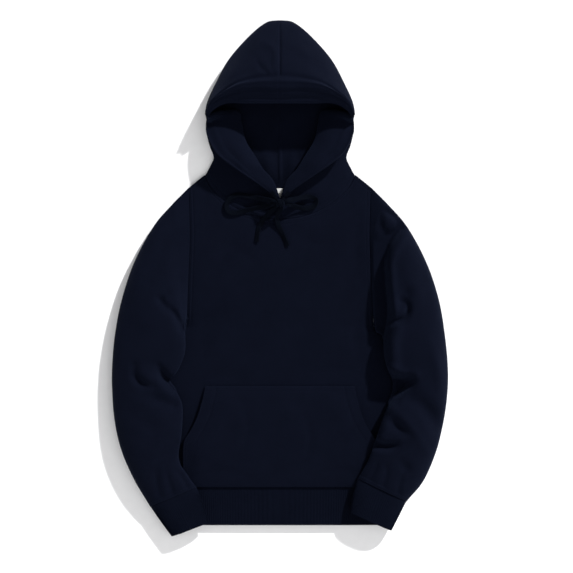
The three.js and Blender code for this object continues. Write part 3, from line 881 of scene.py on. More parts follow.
class NodeSheet:
    """A material's nodes, with helpers that add and link them."""

    def __init__(self, name: str) -> None:
        """Starts a material with its shader, its output and the place on the piece.

        Args:
            name: The material's name.
        """
        self.material = bpy.data.materials.new(name)
        self.material.use_nodes = True
        self.tree = self.material.node_tree
        self.tree.nodes.clear()
        self.shader = self.add("ShaderNodeBsdfPrincipled")
        self.place = self.add("ShaderNodeTexCoord")
        output = self.add("ShaderNodeOutputMaterial")
        self.link(self.shader.outputs["BSDF"], output.inputs["Surface"])

    def add(self, kind: str, **values: object) -> bpy.types.Node:
        """Adds a node and sets its properties and sockets.

        Args:
            kind: The node's type.
            **values: Properties, and sockets by name with underscores for spaces.

        Returns:
            The new node.
        """
        node = self.tree.nodes.new(kind)
        for name, value in values.items():
            if hasattr(node, name):
                setattr(node, name, value)
            else:
                node.inputs[name.replace("_", " ")].default_value = value
        return node

    def link(self, source: bpy.types.NodeSocket, target: bpy.types.NodeSocket) -> None:
        """Joins two sockets."""
        self.tree.links.new(source, target)

    def feed(self, target: bpy.types.NodeSocket, value: object) -> None:
        """Sets a socket to a value, or joins it to another socket.

        Args:
            target: The socket.
            value: Its value, or the socket that gives it.
        """
        if isinstance(value, bpy.types.NodeSocket):
            self.link(value, target)
        else:
            target.default_value = value

    def dress(self, **values: object) -> None:
        """Sets or joins the shader's sockets, by name with underscores for spaces."""
        for name, value in values.items():
            self.feed(self.shader.inputs[name.replace("_", " ")], value)

    def noise(self, **values: float) -> bpy.types.NodeSocket:
        """Adds a noise that follows the place on the piece.

        Args:
            **values: The noise's sockets.

        Returns:
            The noise's strength.
        """
        noise = self.add("ShaderNodeTexNoise", **values)
        self.link(self.place.outputs["Object"], noise.inputs["Vector"])
        return noise.outputs["Fac"]

    def blend(self, share: object, low: object, high: object, way: str = "MIX") -> bpy.types.NodeSocket:
        """Blends two colours, each a colour or the socket that gives it.

        Args:
            share: How much of the second colour there is.
            low: The first colour.
            high: The second colour.
            way: The node's way of blending.

        Returns:
            The blended colour.
        """
        node = self.add("ShaderNodeMix", data_type="RGBA", blend_type=way)
        for index, value in ((0, share), (6, low), (7, high)):
            self.feed(node.inputs[index], value)
        return node.outputs[2]

    def bump(self, height: bpy.types.NodeSocket, strength: float, distance: float) -> None:
        """Roughens the surface by a height.

        Args:
            height: The height's socket.
            strength: How strongly the light follows it.
            distance: The height's size in metres.
        """
        node = self.add("ShaderNodeBump", Strength=strength, Distance=distance)
        self.link(height, node.inputs["Height"])
        self.dress(Normal=node.outputs["Normal"])


@dataclass(frozen=True)
class Knit:
    """Knitted navy cloth, patterned on the piece's own UV map in metres.

    Wales run along the piece and courses across it, at their pitch in millimetres. Fibres and a
    slow mottle follow the place.
    """

    name: str
    shade: Shade
    wale: float = 1.1
    course: float = 0.9
    fuzz: float = 1.0
    nap: float = 0.03
    mottle: float = 0.22
    fibre_contrast: float = 0.35
    fibre_share: float = 0.25
    bump_strength: float = 0.55
    bump_height: float = 0.0006

    def build(self) -> bpy.types.Material:
        """Makes the material.

        Returns:
            The material.
        """
        sheet = NodeSheet(self.name)
        mottle = sheet.noise(Scale=26.0, Detail=6.0, Roughness=0.62)
        fibres = sheet.noise(Scale=1300.0, Detail=3.0, Roughness=0.65)
        loops = sheet.add("ShaderNodeMath", operation="MULTIPLY")
        for socket, way, pitch in zip(loops.inputs, "XY", (self.wale, self.course)):
            sheet.link(self._bands(sheet, way, pitch), socket)
        relief = sheet.add("ShaderNodeMath", operation="MULTIPLY_ADD")
        for socket, value in zip(relief.inputs, (fibres, self.fuzz, loops.outputs[0])):
            sheet.feed(socket, value)
        sheet.bump(relief.outputs[0], self.bump_strength, self.bump_height)
        sheet.dress(
            Base_Color=self._colour(sheet, mottle, fibres),
            Roughness=0.88,
            Specular_IOR_Level=0.03,
            Specular_Tint=NAVY_SHINE.rgba,
            Sheen_Weight=self.nap,
            Sheen_Roughness=0.5,
            Sheen_Tint=NAVY_SHINE.rgba,
        )
        return sheet.material

    def _bands(self, sheet: NodeSheet, way: str, pitch: float) -> bpy.types.NodeSocket:
        """Adds the soft bands of one direction of the knit.

        Args:
            sheet: The material's nodes.
            way: The UV map's direction across the bands.
            pitch: From one band to the next, in millimetres.

        Returns:
            The bands' strength.
        """
        flat = sheet.add("ShaderNodeUVMap")
        bands = sheet.add("ShaderNodeTexWave", wave_type="BANDS", bands_direction=way, Distortion=1.2)
        bands.inputs["Scale"].default_value = WAVE_PERIOD / (pitch * MM)
        sheet.link(flat.outputs["UV"], bands.inputs["Vector"])
        return bands.outputs["Fac"]

    def _colour(
        self, sheet: NodeSheet, mottle: bpy.types.NodeSocket, fibres: bpy.types.NodeSocket
    ) -> bpy.types.NodeSocket:
        """Varies the colour slowly over the cloth, and from fibre to fibre.

        Args:
            sheet: The material's nodes.
            mottle: The slow variation.
            fibres: The fine one.

        Returns:
            The colour.
        """
        darker, lighter = (self.shade.times(1 + off).rgba for off in (-self.mottle, self.mottle))
        broad = sheet.blend(mottle, darker, lighter)
        fine = sheet.blend(self.fibre_contrast, broad, fibres, "OVERLAY")
        return sheet.blend(self.fibre_share, broad, fine)


@dataclass(frozen=True)
class PlainFinish:
    """A faintly grained finish, for the label and the floor."""

    name: str
    shade: Shade
    rough: float
    grain: float = 400.0
    contrast: float = 0.03
    bump_strength: float = 0.2
    bump_height: float = 0.0002

    def build(self) -> bpy.types.Material:
        """Makes the material.

        Returns:
            The material, with a fine grain on Object coordinates.
        """
        sheet = NodeSheet(self.name)
        grain = sheet.noise(Scale=self.grain, Detail=3.0)
        darker, lighter = (self.shade.times(1 + off).rgba for off in (-self.contrast, self.contrast))
        sheet.bump(grain, self.bump_strength, self.bump_height)
        sheet.dress(Base_Color=sheet.blend(grain, darker, lighter), Roughness=self.rough)
        return sheet.material


FRONT_CREASES = (
    Crease(((-178, -104), (-150, -78), (-118, -58)), 13, 2.6),
    Crease(((-176, -190), (-150, -150), (-140, -96)), 15, 1.6),
    Crease(((-96, 96), (-112, 52), (-116, 6)), 17, 1.6),
    Crease(((-60, 40), (-84, 58), (-116, 64)), 11, 1.2),
    Crease(((36, 88), (74, 70), (118, 74)), 15, 1.3),
    Crease(((158, 120), (150, 60), (158, 4)), 11, 2.2),
    Crease(((172, -58), (150, -110), (160, -176)), 14, 1.8),
    Crease(((-104, -128), (-20, -142), (58, -134)), 20, 1.1),
    Crease(((-40, -62), (30, -52), (92, -66)), 24, -1.2),
    Crease(((-190, -212), (-120, -196), (-60, -200)), 13, 1.3),
    Crease(((40, -192), (110, -180), (176, -196)), 12, 1.2),
    Crease(((-206, -250), (-204, -320), (-210, -390)), 9, 1.5),
    Crease(((206, -246), (200, -320), (206, -396)), 9, 1.5),
)
POCKET_CREASES = (
    Crease(((54, -282), (60, -322), (52, -366)), 9, 1.7),
    Crease(((-70, -254), (-66, -304), (-76, -352)), 11, 1.4),
    Crease(((104, -240), (126, -290), (150, -352)), 13, -1.4),
    Crease(((-104, -240), (-128, -296), (-158, -356)), 13, -1.4),
    Crease(((-20, -232), (10, -262), (16, -330)), 18, -1.1),
    Crease(((-176, -398), (-120, -384), (-60, -396)), 8, 1.2),
    Crease(((60, -394), (112, -382), (174, -396)), 8, 1.2),
)
BACK_CREASES = (
    Crease(((-150, 120), (-120, 20), (-140, -80)), 18, -2.2),
    Crease(((140, 110), (112, 10), (136, -90)), 18, -2.0),
    Crease(((-170, -190), (-60, -160), (60, -176)), 20, -1.8),
    Crease(((170, -230), (90, -250), (-20, -240)), 16, -1.6),
    Crease(((-90, -300), (-30, -340), (-50, -400)), 16, -1.6),
    Crease(((100, -300), (60, -350), (96, -402)), 15, -1.5),
    Crease(((-60, 160), (0, 120), (64, 158)), 20, -1.6),
)


@dataclass
class Wardrobe:
    """The finishes, made once and shared by the pieces."""

    fleece: bpy.types.Material = field(init=False)
    rib: bpy.types.Material = field(init=False)
    tape: bpy.types.Material = field(init=False)
    thread: bpy.types.Material = field(init=False)
    label: bpy.types.Material = field(init=False)

    def __post_init__(self) -> None:
        """Builds each finish."""
        self.fleece = Knit("navy_fleece", NAVY).build()
        self.rib = Knit("navy_rib", NAVY_RIB, wale=1.8, course=1.2, fuzz=0.7, nap=0.025).build()
        self.tape = Knit("navy_tape", NAVY_CORD, wale=1.0, course=1.0, fuzz=0.3, nap=0.02).build()
        self.thread = Knit("navy_thread", NAVY_THREAD, wale=0.4, course=0.4, fuzz=0.2).build()
        self.label = PlainFinish("label_cloth", WHITE_LABEL, 0.7).build()


def seam_dip(away: Array, depth: float = 1.3) -> Array:
    """How far the cloth is drawn down beside a seam, with a soft roll between its two rows."""
    roll = hump(away, SEAM_ROWS[1] + ROLL_AWAY, ROLL_WIDTH)
    return depth * hump(away, 0.0, DIP_WIDTH) + ROLL_SHARE * depth * roll


@dataclass
class Panels:
    """The body's front and back panels."""

    wardrobe: Wardrobe
    columns: int = 190
    rows: int = 200
    back_columns: int = 120
    back_rows: int = 110
    column_crowding: float = 1.35
    hem_dip: float = 0.3
    hem_rows: tuple[float, float] = (2.0, 6.0)
    back_edge: float = 4.0

    def _plan(self, columns: int, rows: int, drop: float) -> tuple[Array, Array]:
        """Places of a panel's grid in plan.

        Args:
            columns: Columns from side to side.
            rows: Rows from hem to neck.
            drop: How far the neck edge drops at its middle.

        Returns:
            X and Y of each place.
        """
        turn = np.linspace(-1.0, 1.0, columns)
        across = np.sign(turn) * (1 - (1 - np.abs(turn)) ** self.column_crowding)
        up = 1 - (1 - np.linspace(0.0, 1.0, rows)) ** ROW_CROWDING
        low = HEM_SEAM_Y + SEAM_GAP / 2
        top = BODY.top_edge(across * SHOULDER_TIP[0], drop)
        y = low + np.outer(up, top - low)
        return across[None, :] * BODY.half(y), y

    def front_points(self) -> Array:
        """Lays the front panel, with its creases and its seams drawn down.

        Returns:
            Its points.
        """
        x, y = self._plan(self.columns, self.rows, NECK_FRONT_DROP)
        flat = np.stack([x, y, np.zeros_like(x)], axis=-1)
        sewn = [seam_dip(Edge.FIRST_ROW.away(flat), self.hem_dip), seam_dip(Edge.LAST_ROW.away(flat))]
        armholes = [seam_dip(edge.away(flat)) for edge in (Edge.FIRST_COLUMN, Edge.LAST_COLUMN)]
        drop = dropped(FRONT_CREASES, x, y) + sum(sewn) + sum(armholes) * (y > UNDERARM_Y)
        z = np.maximum(BODY.front_height(x, y) - drop, SEAM_HEIGHT)
        return np.stack([x, y, z], axis=-1)

    def back_points(self) -> Array:
        """Lays the back panel, flat on the floor but for a few shallow hollows.

        Returns:
            Its points.
        """
        x, y = self._plan(self.back_columns, self.back_rows, NECK_BACK_DROP)
        inside = np.clip(self.back_edge * (1 - np.abs(x) / BODY.half(y)), 0.0, 1.0)
        z = np.maximum(-dropped(BACK_CREASES, x, y) * inside, 0.0)
        return np.stack([x, y, z], axis=-1)[:, ::-1]

    def front_seams(self) -> list[Seam]:
        """Places the rows of stitches at the hem, the neck and the armholes.

        Returns:
            The rows.
        """
        below = (UNDERARM_Y - HEM_SEAM_Y) / (SHOULDER_TIP[1] - HEM_SEAM_Y)
        under = 1 - (1 - below) ** (1 / ROW_CROWDING)
        seams = [Seam(Edge.FIRST_ROW, inset, 0.01, 0.99) for inset in self.hem_rows]
        for inset in SEAM_ROWS:
            seams.append(Seam(Edge.LAST_ROW, inset, 0.02, 0.98))
            seams.append(Seam(Edge.LAST_COLUMN, inset, under, 0.98))
            seams.append(Seam(Edge.FIRST_COLUMN, inset, under, 0.98))
        return seams

    def build(self) -> list[bpy.types.Object]:
        """Returns:
            The panels and their stitches.
        """
        fleece = self.wardrobe.fleece
        points = self.front_points()
        front = Sheet("body_front", points, fleece).build()
        back = Sheet("body_back", self.back_points(), fleece).build()
        thread = Stitching("stitches_front", self.wardrobe.thread).build([(points, self.front_seams())])
        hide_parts("front_panel")
        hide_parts("back_panel")
        for piece in (front, back):
            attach(piece, "root")
        return [front, back, thread]


def tube_places(angle: Array) -> Array:
    """How far across a flattened tube each angle lies."""
    return 0.5 - 0.5 * squared_off(np.cos(angle), FOLD_CURVE)


def tube_points(rows: Sequence[TubeRow], at: Array, angle: Array, sign: int) -> Array:
    """Points of a flattened tube that rests on what lies below it.

    Args:
        rows: The tube's table.
        at: Places along the tube, one for each grid place.
        angle: Turns round the tube, one for each grid place.
        sign: The side's sign.

    Returns:
        The points.
    """
    read = TubeRow(at, *(read_column(rows, name, at) for name in TubeRow._fields[1:]))
    across = tube_places(angle)
    x = mix(read.in_x, read.out_x, across) * sign
    y = mix(read.in_y, read.out_y, across)
    rest = BODY.resting_height(x, y)
    edge = np.maximum(mix(read.in_z, read.out_z, across), rest + CLOTH + 1)
    crown = np.maximum(read.top, rest + 3 * CLOTH)
    rise = np.abs(np.sin(angle)) ** CROWN_CURVE
    z = np.where(np.sin(angle) >= 0, mix(edge, crown, rise), mix(edge, rest, rise))
    return np.stack([x, y, z], axis=-1)


def rib_relief(points: Array, share: Array | float) -> Array:
    """Inward moves that cut a tube's grooves between its ribs.

    Args:
        points: The tube's grid, with RIB_COLUMNS columns to a rib.
        share: How deep the grooves are at each place, from 0 to 1.

    Returns:
        The move at each place, in millimetres.
    """
    columns = np.arange(points.shape[1])
    groove = 0.5 - 0.5 * np.cos(2 * np.pi * columns / RIB_COLUMNS)
    return -grid_normals(points) * (RIB_DEPTH * groove[None, :] * share)[..., None]


SLEEVE_CREASES = {
    Side.RIGHT: (
        Crease(((240, -40), (226, -30), (212, -24)), 6, 4, 1.0, 0.2),
        Crease(((236, -46), (211, -72), (196, -98)), 8, 10, 0.5, 1.0),
        Crease(((228, -34), (222, -60), (206, -92)), 7, -3, 0.3, 0.6),
        Crease(((242, -176), (230, -197), (208, -219)), 9, 19, 0.3, 1.0),
        Crease(((290, -174), (289, -194), (274, -210), (252, -216)), 8, 8, 0.5, 0.4),
        Crease(((272, -180), (262, -196), (244, -200)), 11, -4, 0.4, 0.4),
        Crease(((268, -232), (242, -242), (214, -252)), 13, 8, 0.2, 0.8),
        Crease(((304, -262), (262, -290), (222, -318)), 17, 3.5, 0.3, 0.3),
        Crease(((292, -60), (300, -110), (296, -160)), 18, 3, 0.3, 0.3),
        Crease(((224, 108), (238, 40), (252, -10)), 15, 3, 0.3, 0.3),
        Crease(((270, 62), (284, 10), (288, -40)), 14, -2.5, 0.2, 0.3),
        Crease(((206, -330), (228, -352), (262, -366)), 10, 4, 0.8, 0.3),
        Crease(((240, -430), (246, -396), (240, -366)), 7, 2.6, 1.0, 0.1),
        Crease(((214, -426), (222, -400), (228, -374)), 6, 2.4, 1.0, 0.1),
        Crease(((186, -414), (198, -392), (212, -378)), 6, 2.2, 1.0, 0.1),
    ),
    Side.LEFT: (
        Crease(
            ((238, 102), (211, 72), (198, 34), (200, -8), (205, -60), (200, -96), (192, -116)),
            11,
            58,
            0.3,
            1.0,
        ),
        Crease(((252, 96), (231, 62), (220, 30), (221, -10), (226, -60)), 10, -10, 0.3, 0.8),
        Crease(((230, -98), (224, -130), (226, -172)), 13, -9, 0.8, 0.8),
        Crease(((220, -258), (208, -296), (200, -322)), 10, -5, 0.8, 0.7),
        Crease(((190, 172), (206, 146), (222, 122)), 7, 6, 0.8, 0.3),
        Crease(((206, 152), (226, 126), (246, 102)), 6, 4.5, 0.6, 0.5),
        Crease(((196, 128), (202, 104), (214, 84)), 9, 5, 0.4, 0.7),
        Crease(((240, -42), (254, -54), (250, -74), (222, -88)), 6, 10, 0.4, 1.0),
        Crease(((244, -12), (250, -30), (244, -44)), 12, 5, 0.2, 0.8),
        Crease(((230, -58), (226, -76), (212, -84)), 8, -3, 0.5, 0.5),
        Crease(((196, -213), (226, -213), (252, -205)), 14, 46, 1.0, 0.5),
        Crease(((244, -214), (224, -236), (200, -260)), 10, 20, 0.8, 0.8),
        Crease(((214, -176), (240, -186), (268, -192)), 9, -7, 0.8, 0.5),
        Crease(((262, -238), (292, -262), (316, -304)), 17, 12, 0.6, 0.5),
        Crease(((222, -256), (256, -292), (294, -346)), 10, -4, 0.6, 0.3),
        Crease(((218, -280), (236, -296), (256, -310)), 11, 8, 0.7, 0.4),
        Crease(((184, -328), (212, -334), (246, -328)), 9, 15, 1.0, 0.2),
        Crease(((240, -364), (250, -376), (258, -388)), 10, 5, 0.5, 0.3),
        Crease(((276, 40), (290, -20), (294, -80)), 15, 3, 0.3, 0.3),
        Crease(((300, -130), (312, -170), (318, -214)), 12, -4, 0.3, 0.6),
        Crease(((206, -410), (212, -384), (206, -360)), 6, 2.4, 1.0, 0.1),
        Crease(((180, -400), (190, -378), (196, -356)), 6, 2.4, 1.0, 0.1),
        Crease(((236, -424), (240, -400), (250, -384)), 6, 2.2, 1.0, 0.1),
    ),
}


@dataclass
class Sleeve:
    """One sleeve and its rib cuff."""

    side: Side
    wardrobe: Wardrobe
    around: int = 176
    along: int = 164
    crowding: float = 1.15
    fold_steepness: float = 4.0
    fold_curve: float = 0.3
    least_wall: float = 1.3
    ribs: int = 88
    cuff_rows: int = 14
    groove_steepness: float = 4.0

    def _grid(self, around: int, along: Array) -> tuple[Array, Array]:
        """Turns and places of a tube's grid.

        Args:
            around: Columns round the tube.
            along: Places along the tube.

        Returns:
            The turn and the place at each point of the grid.
        """
        turns = np.linspace(0.0, 2 * np.pi, around + 1)
        if self.side is Side.LEFT:
            turns = turns[::-1]
        return np.meshgrid(turns, along)

    def sleeve_points(self) -> Array:
        """Lays the sleeve from its armhole to its cuff.

        Returns:
            Its points.
        """
        sign = self.side.value
        angle, at = self._grid(self.around, np.linspace(0.0, 1.0, self.along) ** self.crowding)
        y = mix(UNDERARM_Y, SHOULDER_TIP[1], tube_places(angle))
        x = BODY.half(y) + SEAM_GAP
        armhole = np.stack([x * sign, y, BODY.ring_height(np.sin(angle), x, y)], axis=-1)
        laid = tube_points(SLEEVE_ROWS[self.side], np.maximum(at, SLEEVE_START), angle, sign)
        share = np.clip(at / SLEEVE_START, 0.0, 1.0)[..., None]
        points = armhole * (1 - share) + laid * share
        points[..., 2] = self._folded(points, angle, at)
        return points

    def _folded(self, points: Array, angle: Array, at: Array) -> Array:
        """Presses the sleeve's folds and notches into its heights.

        Args:
            points: The sleeve's points, without them.
            angle: Turn round the tube at each point.
            at: Place along the tube at each point.

        Returns:
            The height at each point, on or above what the sleeve rests on.
        """
        x, y, z = np.moveaxis(points, -1, 0)
        rest = BODY.resting_height(x, y)
        drop = dropped(SLEEVE_CREASES[self.side], np.abs(x), y) + seam_dip(Edge.LAST_ROW.away(points))
        above = 1 + np.clip(self.fold_steepness * np.sin(angle), -1.0, 1.0)
        lowest = np.maximum(rest + self.least_wall * CLOTH * above, NOTCH_FLOOR * above**self.fold_curve)
        lowered = np.maximum(z - drop * np.clip(1 + 2 * np.sin(angle), 0.0, 1.0), lowest)
        lowered = np.where(drop * above > 0, np.minimum(lowered, z), lowered)
        return np.maximum(np.where(at > 0, lowered, z), rest)

    def cuff_points(self) -> tuple[Array, Array]:
        """Lays the cuff.

        Returns:
            Its points, and the relief of its ribs.
        """
        angle, at = self._grid(self.ribs * RIB_COLUMNS, np.linspace(0.0, 1.0, self.cuff_rows))
        points = tube_points(CUFF_ROWS[self.side], at, angle, self.side.value)
        return points, rib_relief(points, np.clip(self.groove_steepness * at, 0.0, 1.0))

    def build(self) -> list[bpy.types.Object]:
        """Returns:
            The sleeve, the cuff and their stitches.
        """
        word = self.side.word
        points = self.sleeve_points()
        sleeve = Sheet(f"arm_{word}", points, self.wardrobe.fleece, closed=True).build()
        cuff_points, relief = self.cuff_points()
        rib = self.wardrobe.rib
        cuff = Sheet(f"wrist_{word}", cuff_points, rib, closed=True, relief=relief).build()
        seams = [Seam(Edge.LAST_ROW, inset) for inset in SEAM_ROWS]
        thread = Stitching(f"stitches_arm_{word}", self.wardrobe.thread).build([(points, seams)])
        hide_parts(f"sleeve_{word}", f"forearm_{word}")
        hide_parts(f"cuff_{word}")
        for piece in (sleeve, cuff):
            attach(piece, "root")
        return [sleeve, cuff, thread]


@dataclass
class HemBand:
    """The hem's rib band, a flat tube below the two panels."""

    wardrobe: Wardrobe
    ribs: int = 230
    rows: int = 16
    side_curve: float = 0.7

    def build(self) -> list[bpy.types.Object]:
        """Returns:
            The band.
        """
        turns = np.linspace(0.0, 2 * np.pi, self.ribs * RIB_COLUMNS + 1)
        levels = np.linspace(HEM_END_Y, HEM_SEAM_Y - SEAM_GAP / 2, self.rows)
        angle, y = np.meshgrid(turns, levels)
        x = -squared_off(np.cos(angle), self.side_curve) * BODY.half(y)
        points = np.stack([x, y, BODY.ring_height(np.sin(angle), x, y)], axis=-1)
        relief = rib_relief(points, 1.0)
        band = Sheet("waist_rib", points, self.wardrobe.rib, closed=True, relief=relief).build()
        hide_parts("hem_band")
        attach(band, "root")
        return [band]


@dataclass
class Pocket:
    """The kangaroo pocket on the front."""

    wardrobe: Wardrobe
    fine: float = 0.1
    edge_columns: int = 16
    middle_columns: int = 110
    rows: int = 110
    top_dip: float = 0.6
    hand_hem: float = 22.0
    hand_dip: float = 0.9
    hand_dip_width: float = 2.6
    pressed: float = 1.2

    def points(self) -> Array:
        """Lays the pocket, with its points close together beside its edges.

        Returns:
            Its points.
        """
        edge = np.linspace(1 - self.fine, 1.0, self.edge_columns)[1:]
        middle = np.linspace(self.fine - 1, 1 - self.fine, self.middle_columns)
        columns = np.concatenate([-edge[::-1], middle, edge])
        up = 1 - (1 - np.linspace(0.0, 1.0, self.rows)) ** ROW_CROWDING
        across, y = np.meshgrid(columns, mix(POCKET_LOW_Y, POCKET_TOP_Y, up))
        x = across * BODY.pocket_half(y)
        sewn = BODY.front_height(x, y) + LAYER_GAP + POCKET_CLOTH
        flat = np.stack([x, y, np.zeros_like(x)], axis=-1)
        drop = dropped(POCKET_CREASES, x, y) + self.top_dip * seam_dip(Edge.LAST_ROW.away(flat))
        for side in (Edge.FIRST_COLUMN, Edge.LAST_COLUMN):
            hem = self.hand_dip * hump(side.away(flat), self.hand_hem, self.hand_dip_width)
            drop = drop + hem * (y > POCKET_OPEN_FROM)
        z = sewn + BODY.pocket_slack(np.abs(across), y) - drop
        return np.stack([x, y, np.maximum(z, sewn - self.pressed)], axis=-1)

    def seams(self, points: Array) -> list[Seam]:
        """Places the rows of stitches round the pocket and beside its hand openings.

        Args:
            points: The pocket's points.

        Returns:
            The rows.
        """
        open_row = float((points[:, 0, 1] < POCKET_OPEN_FROM).mean())
        seams = [Seam(Edge.LAST_ROW, inset, 0.01, 0.99) for inset in SEAM_ROWS]
        for edge in (Edge.FIRST_COLUMN, Edge.LAST_COLUMN):
            for inset in SEAM_ROWS:
                seams.append(Seam(edge, inset, 0.0, open_row))
            seams.append(Seam(edge, SEAM_ROWS[0], open_row, 1.0))
            seams.append(Seam(edge, self.hand_hem, open_row, 0.99))
        return seams

    def build(self) -> list[bpy.types.Object]:
        """Returns:
            The pocket and its stitches.
        """
        points = self.points()
        piece = Sheet("hand_pocket", points, self.wardrobe.fleece, thick=POCKET_CLOTH).build()
        stitching = Stitching("stitches_pocket", self.wardrobe.thread)
        thread = stitching.build([(points, self.seams(points))])
        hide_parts("pocket")
        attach(piece, "root")
        return [piece, thread]


def neck_points(place: Array) -> Array:
    """Lays the hood's edge on the neck seam, just inside the panels' neck edges.

    Args:
        place: Shares of the way from the throat, at 0, to the back's middle, at 1.

    Returns:
        The points.
    """
    ahead = 0.5 - place
    drop = np.where(ahead > 0, NECK_FRONT_DROP - 2 * SEAM_GAP, NECK_BACK_DROP - SEAM_GAP / 3)
    x = (NECK_HALF - 2 * SEAM_GAP) * np.sin(np.pi * place)
    y = NECK_Y - drop * np.abs(np.cos(np.pi * place)) ** NECK_CURVE
    return np.stack([x, y, BODY.ring_height(ahead, x, y)], axis=-1)


@dataclass(frozen=True)
class Reach:
    """The stretch of a hood half in which a form shows, with soft ends.

    It has no end where the rise or the fall at that end is 0.
    """

    start: float = 0.0
    rise: float = 0.0
    stop: float = 1.0
    fall: float = 0.0

    def share(self, values: Array) -> Array:
        """How much of the form shows.

        Args:
            values: Places along the stretch.

        Returns:
            The share at each place, from 0 to 1.
        """
        shown = np.ones(np.shape(values))
        if self.rise:
            shown = shown * ease((values - self.start) / self.rise)
        if self.fall:
            shown = shown * ease((self.stop - values) / self.fall)
        return shown


@dataclass(frozen=True)
class Roll:
    """A rolled ridge, or a groove where its height is negative, along one step of a hood half."""

    height: float
    middle: float
    width: float

    def raised(self, step: Array) -> Array:
        """How far the roll raises the cloth at some steps."""
        return self.height * hump(step, self.middle, self.width)


HOOD_STEPS = (0.0, 0.25, 0.53, 0.7, 1.0)
BRIM = Reach(start=0.79, rise=0.06)
BRIM_ROLLS = (Roll(2.4, 0.242, 0.013), Roll(-2.6, 0.278, 0.012), Roll(-2.4, 0.15, 0.04))
LIP = Reach(start=0.88, rise=0.06)
LIP_ROLL = Roll(3.4, 0.035, 0.02)
CHEEK = Reach(start=0.22, rise=0.12, stop=0.82, fall=0.06)
CHEEK_ROLLS = (Roll(1.4, 0.02, 0.015), Roll(-1.2, 0.055, 0.012), Roll(-5.0, 0.125, 0.07))
CROWN = Reach(start=0.74, rise=0.08)
CROWN_STEPS = Reach(start=0.26, rise=0.04, stop=0.66, fall=0.08)
CROWN_SEAM = Reach(start=0.8, rise=0.1)
GATHERS = Reach(stop=0.7, fall=0.1)
GATHER_STEPS = Reach(stop=0.5, fall=0.1)
LINING_STEPS = Reach(start=0.74, rise=0.05, stop=1.0, fall=0.02)
CROWN_CREASES = (
    Crease(((-34, 470), (-12, 456), (-9, 428), (-22, 404)), 7, -3.4, 0.3, 0.6),
    Crease(((-48, 436), (-40, 420), (-26, 406)), 5, 3.2, 0.3, 0.7),
    Crease(((-14, 446), (-18, 424), (-14, 406)), 3, 1.6, 0.3, 0.7),
    Crease(((-84, 458), (-108, 420), (-118, 392)), 14, 2.4, 0.3, 0.3),
    Crease(((-60, 408), (-88, 396), (-116, 376)), 9, 1.8, 0.4, 0.4),
    Crease(((44, 440), (80, 410), (112, 372)), 15, 2.2, 0.3, 0.3),
    Crease(((24, 470), (52, 446), (70, 424)), 10, -1.6, 0.3, 0.3),
)
GATHER_CREASES = (
    Crease(((-66, 206), (-38, 186), (-8, 162)), 4, 2.8, 0.2, 1.0),
    Crease(((-48, 184), (-26, 170), (-6, 157)), 3.5, 2.2, 0.2, 1.0),
    Crease(((60, 206), (34, 184), (8, 162)), 4, 2.6, 0.2, 1.0),
    Crease(((44, 182), (24, 168), (6, 157)), 3.5, 2.2, 0.2, 1.0),
    Crease(((-120, 262), (-96, 244), (-84, 222)), 10, 2.4, 0.3, 0.4),
    Crease(((118, 258), (98, 238), (80, 226)), 9, 2.0, 0.3, 0.4),
)
LINING_CREASES = (
    Crease(((-30, 266), (-26, 236), (-18, 206)), 14, -5, 0.4, 0.7),
    Crease(((26, 252), (24, 226), (18, 204)), 10, -4, 0.4, 0.7),
    Crease(((-70, 300), (-58, 262), (-40, 226)), 12, -3, 0.3, 0.5),
    Crease(((64, 296), (54, 262), (36, 226)), 12, -3, 0.3, 0.5),
    Crease(((0, 340), (0, 260), (0, 196)), 3, -2.2, 0.7, 1.0),
)


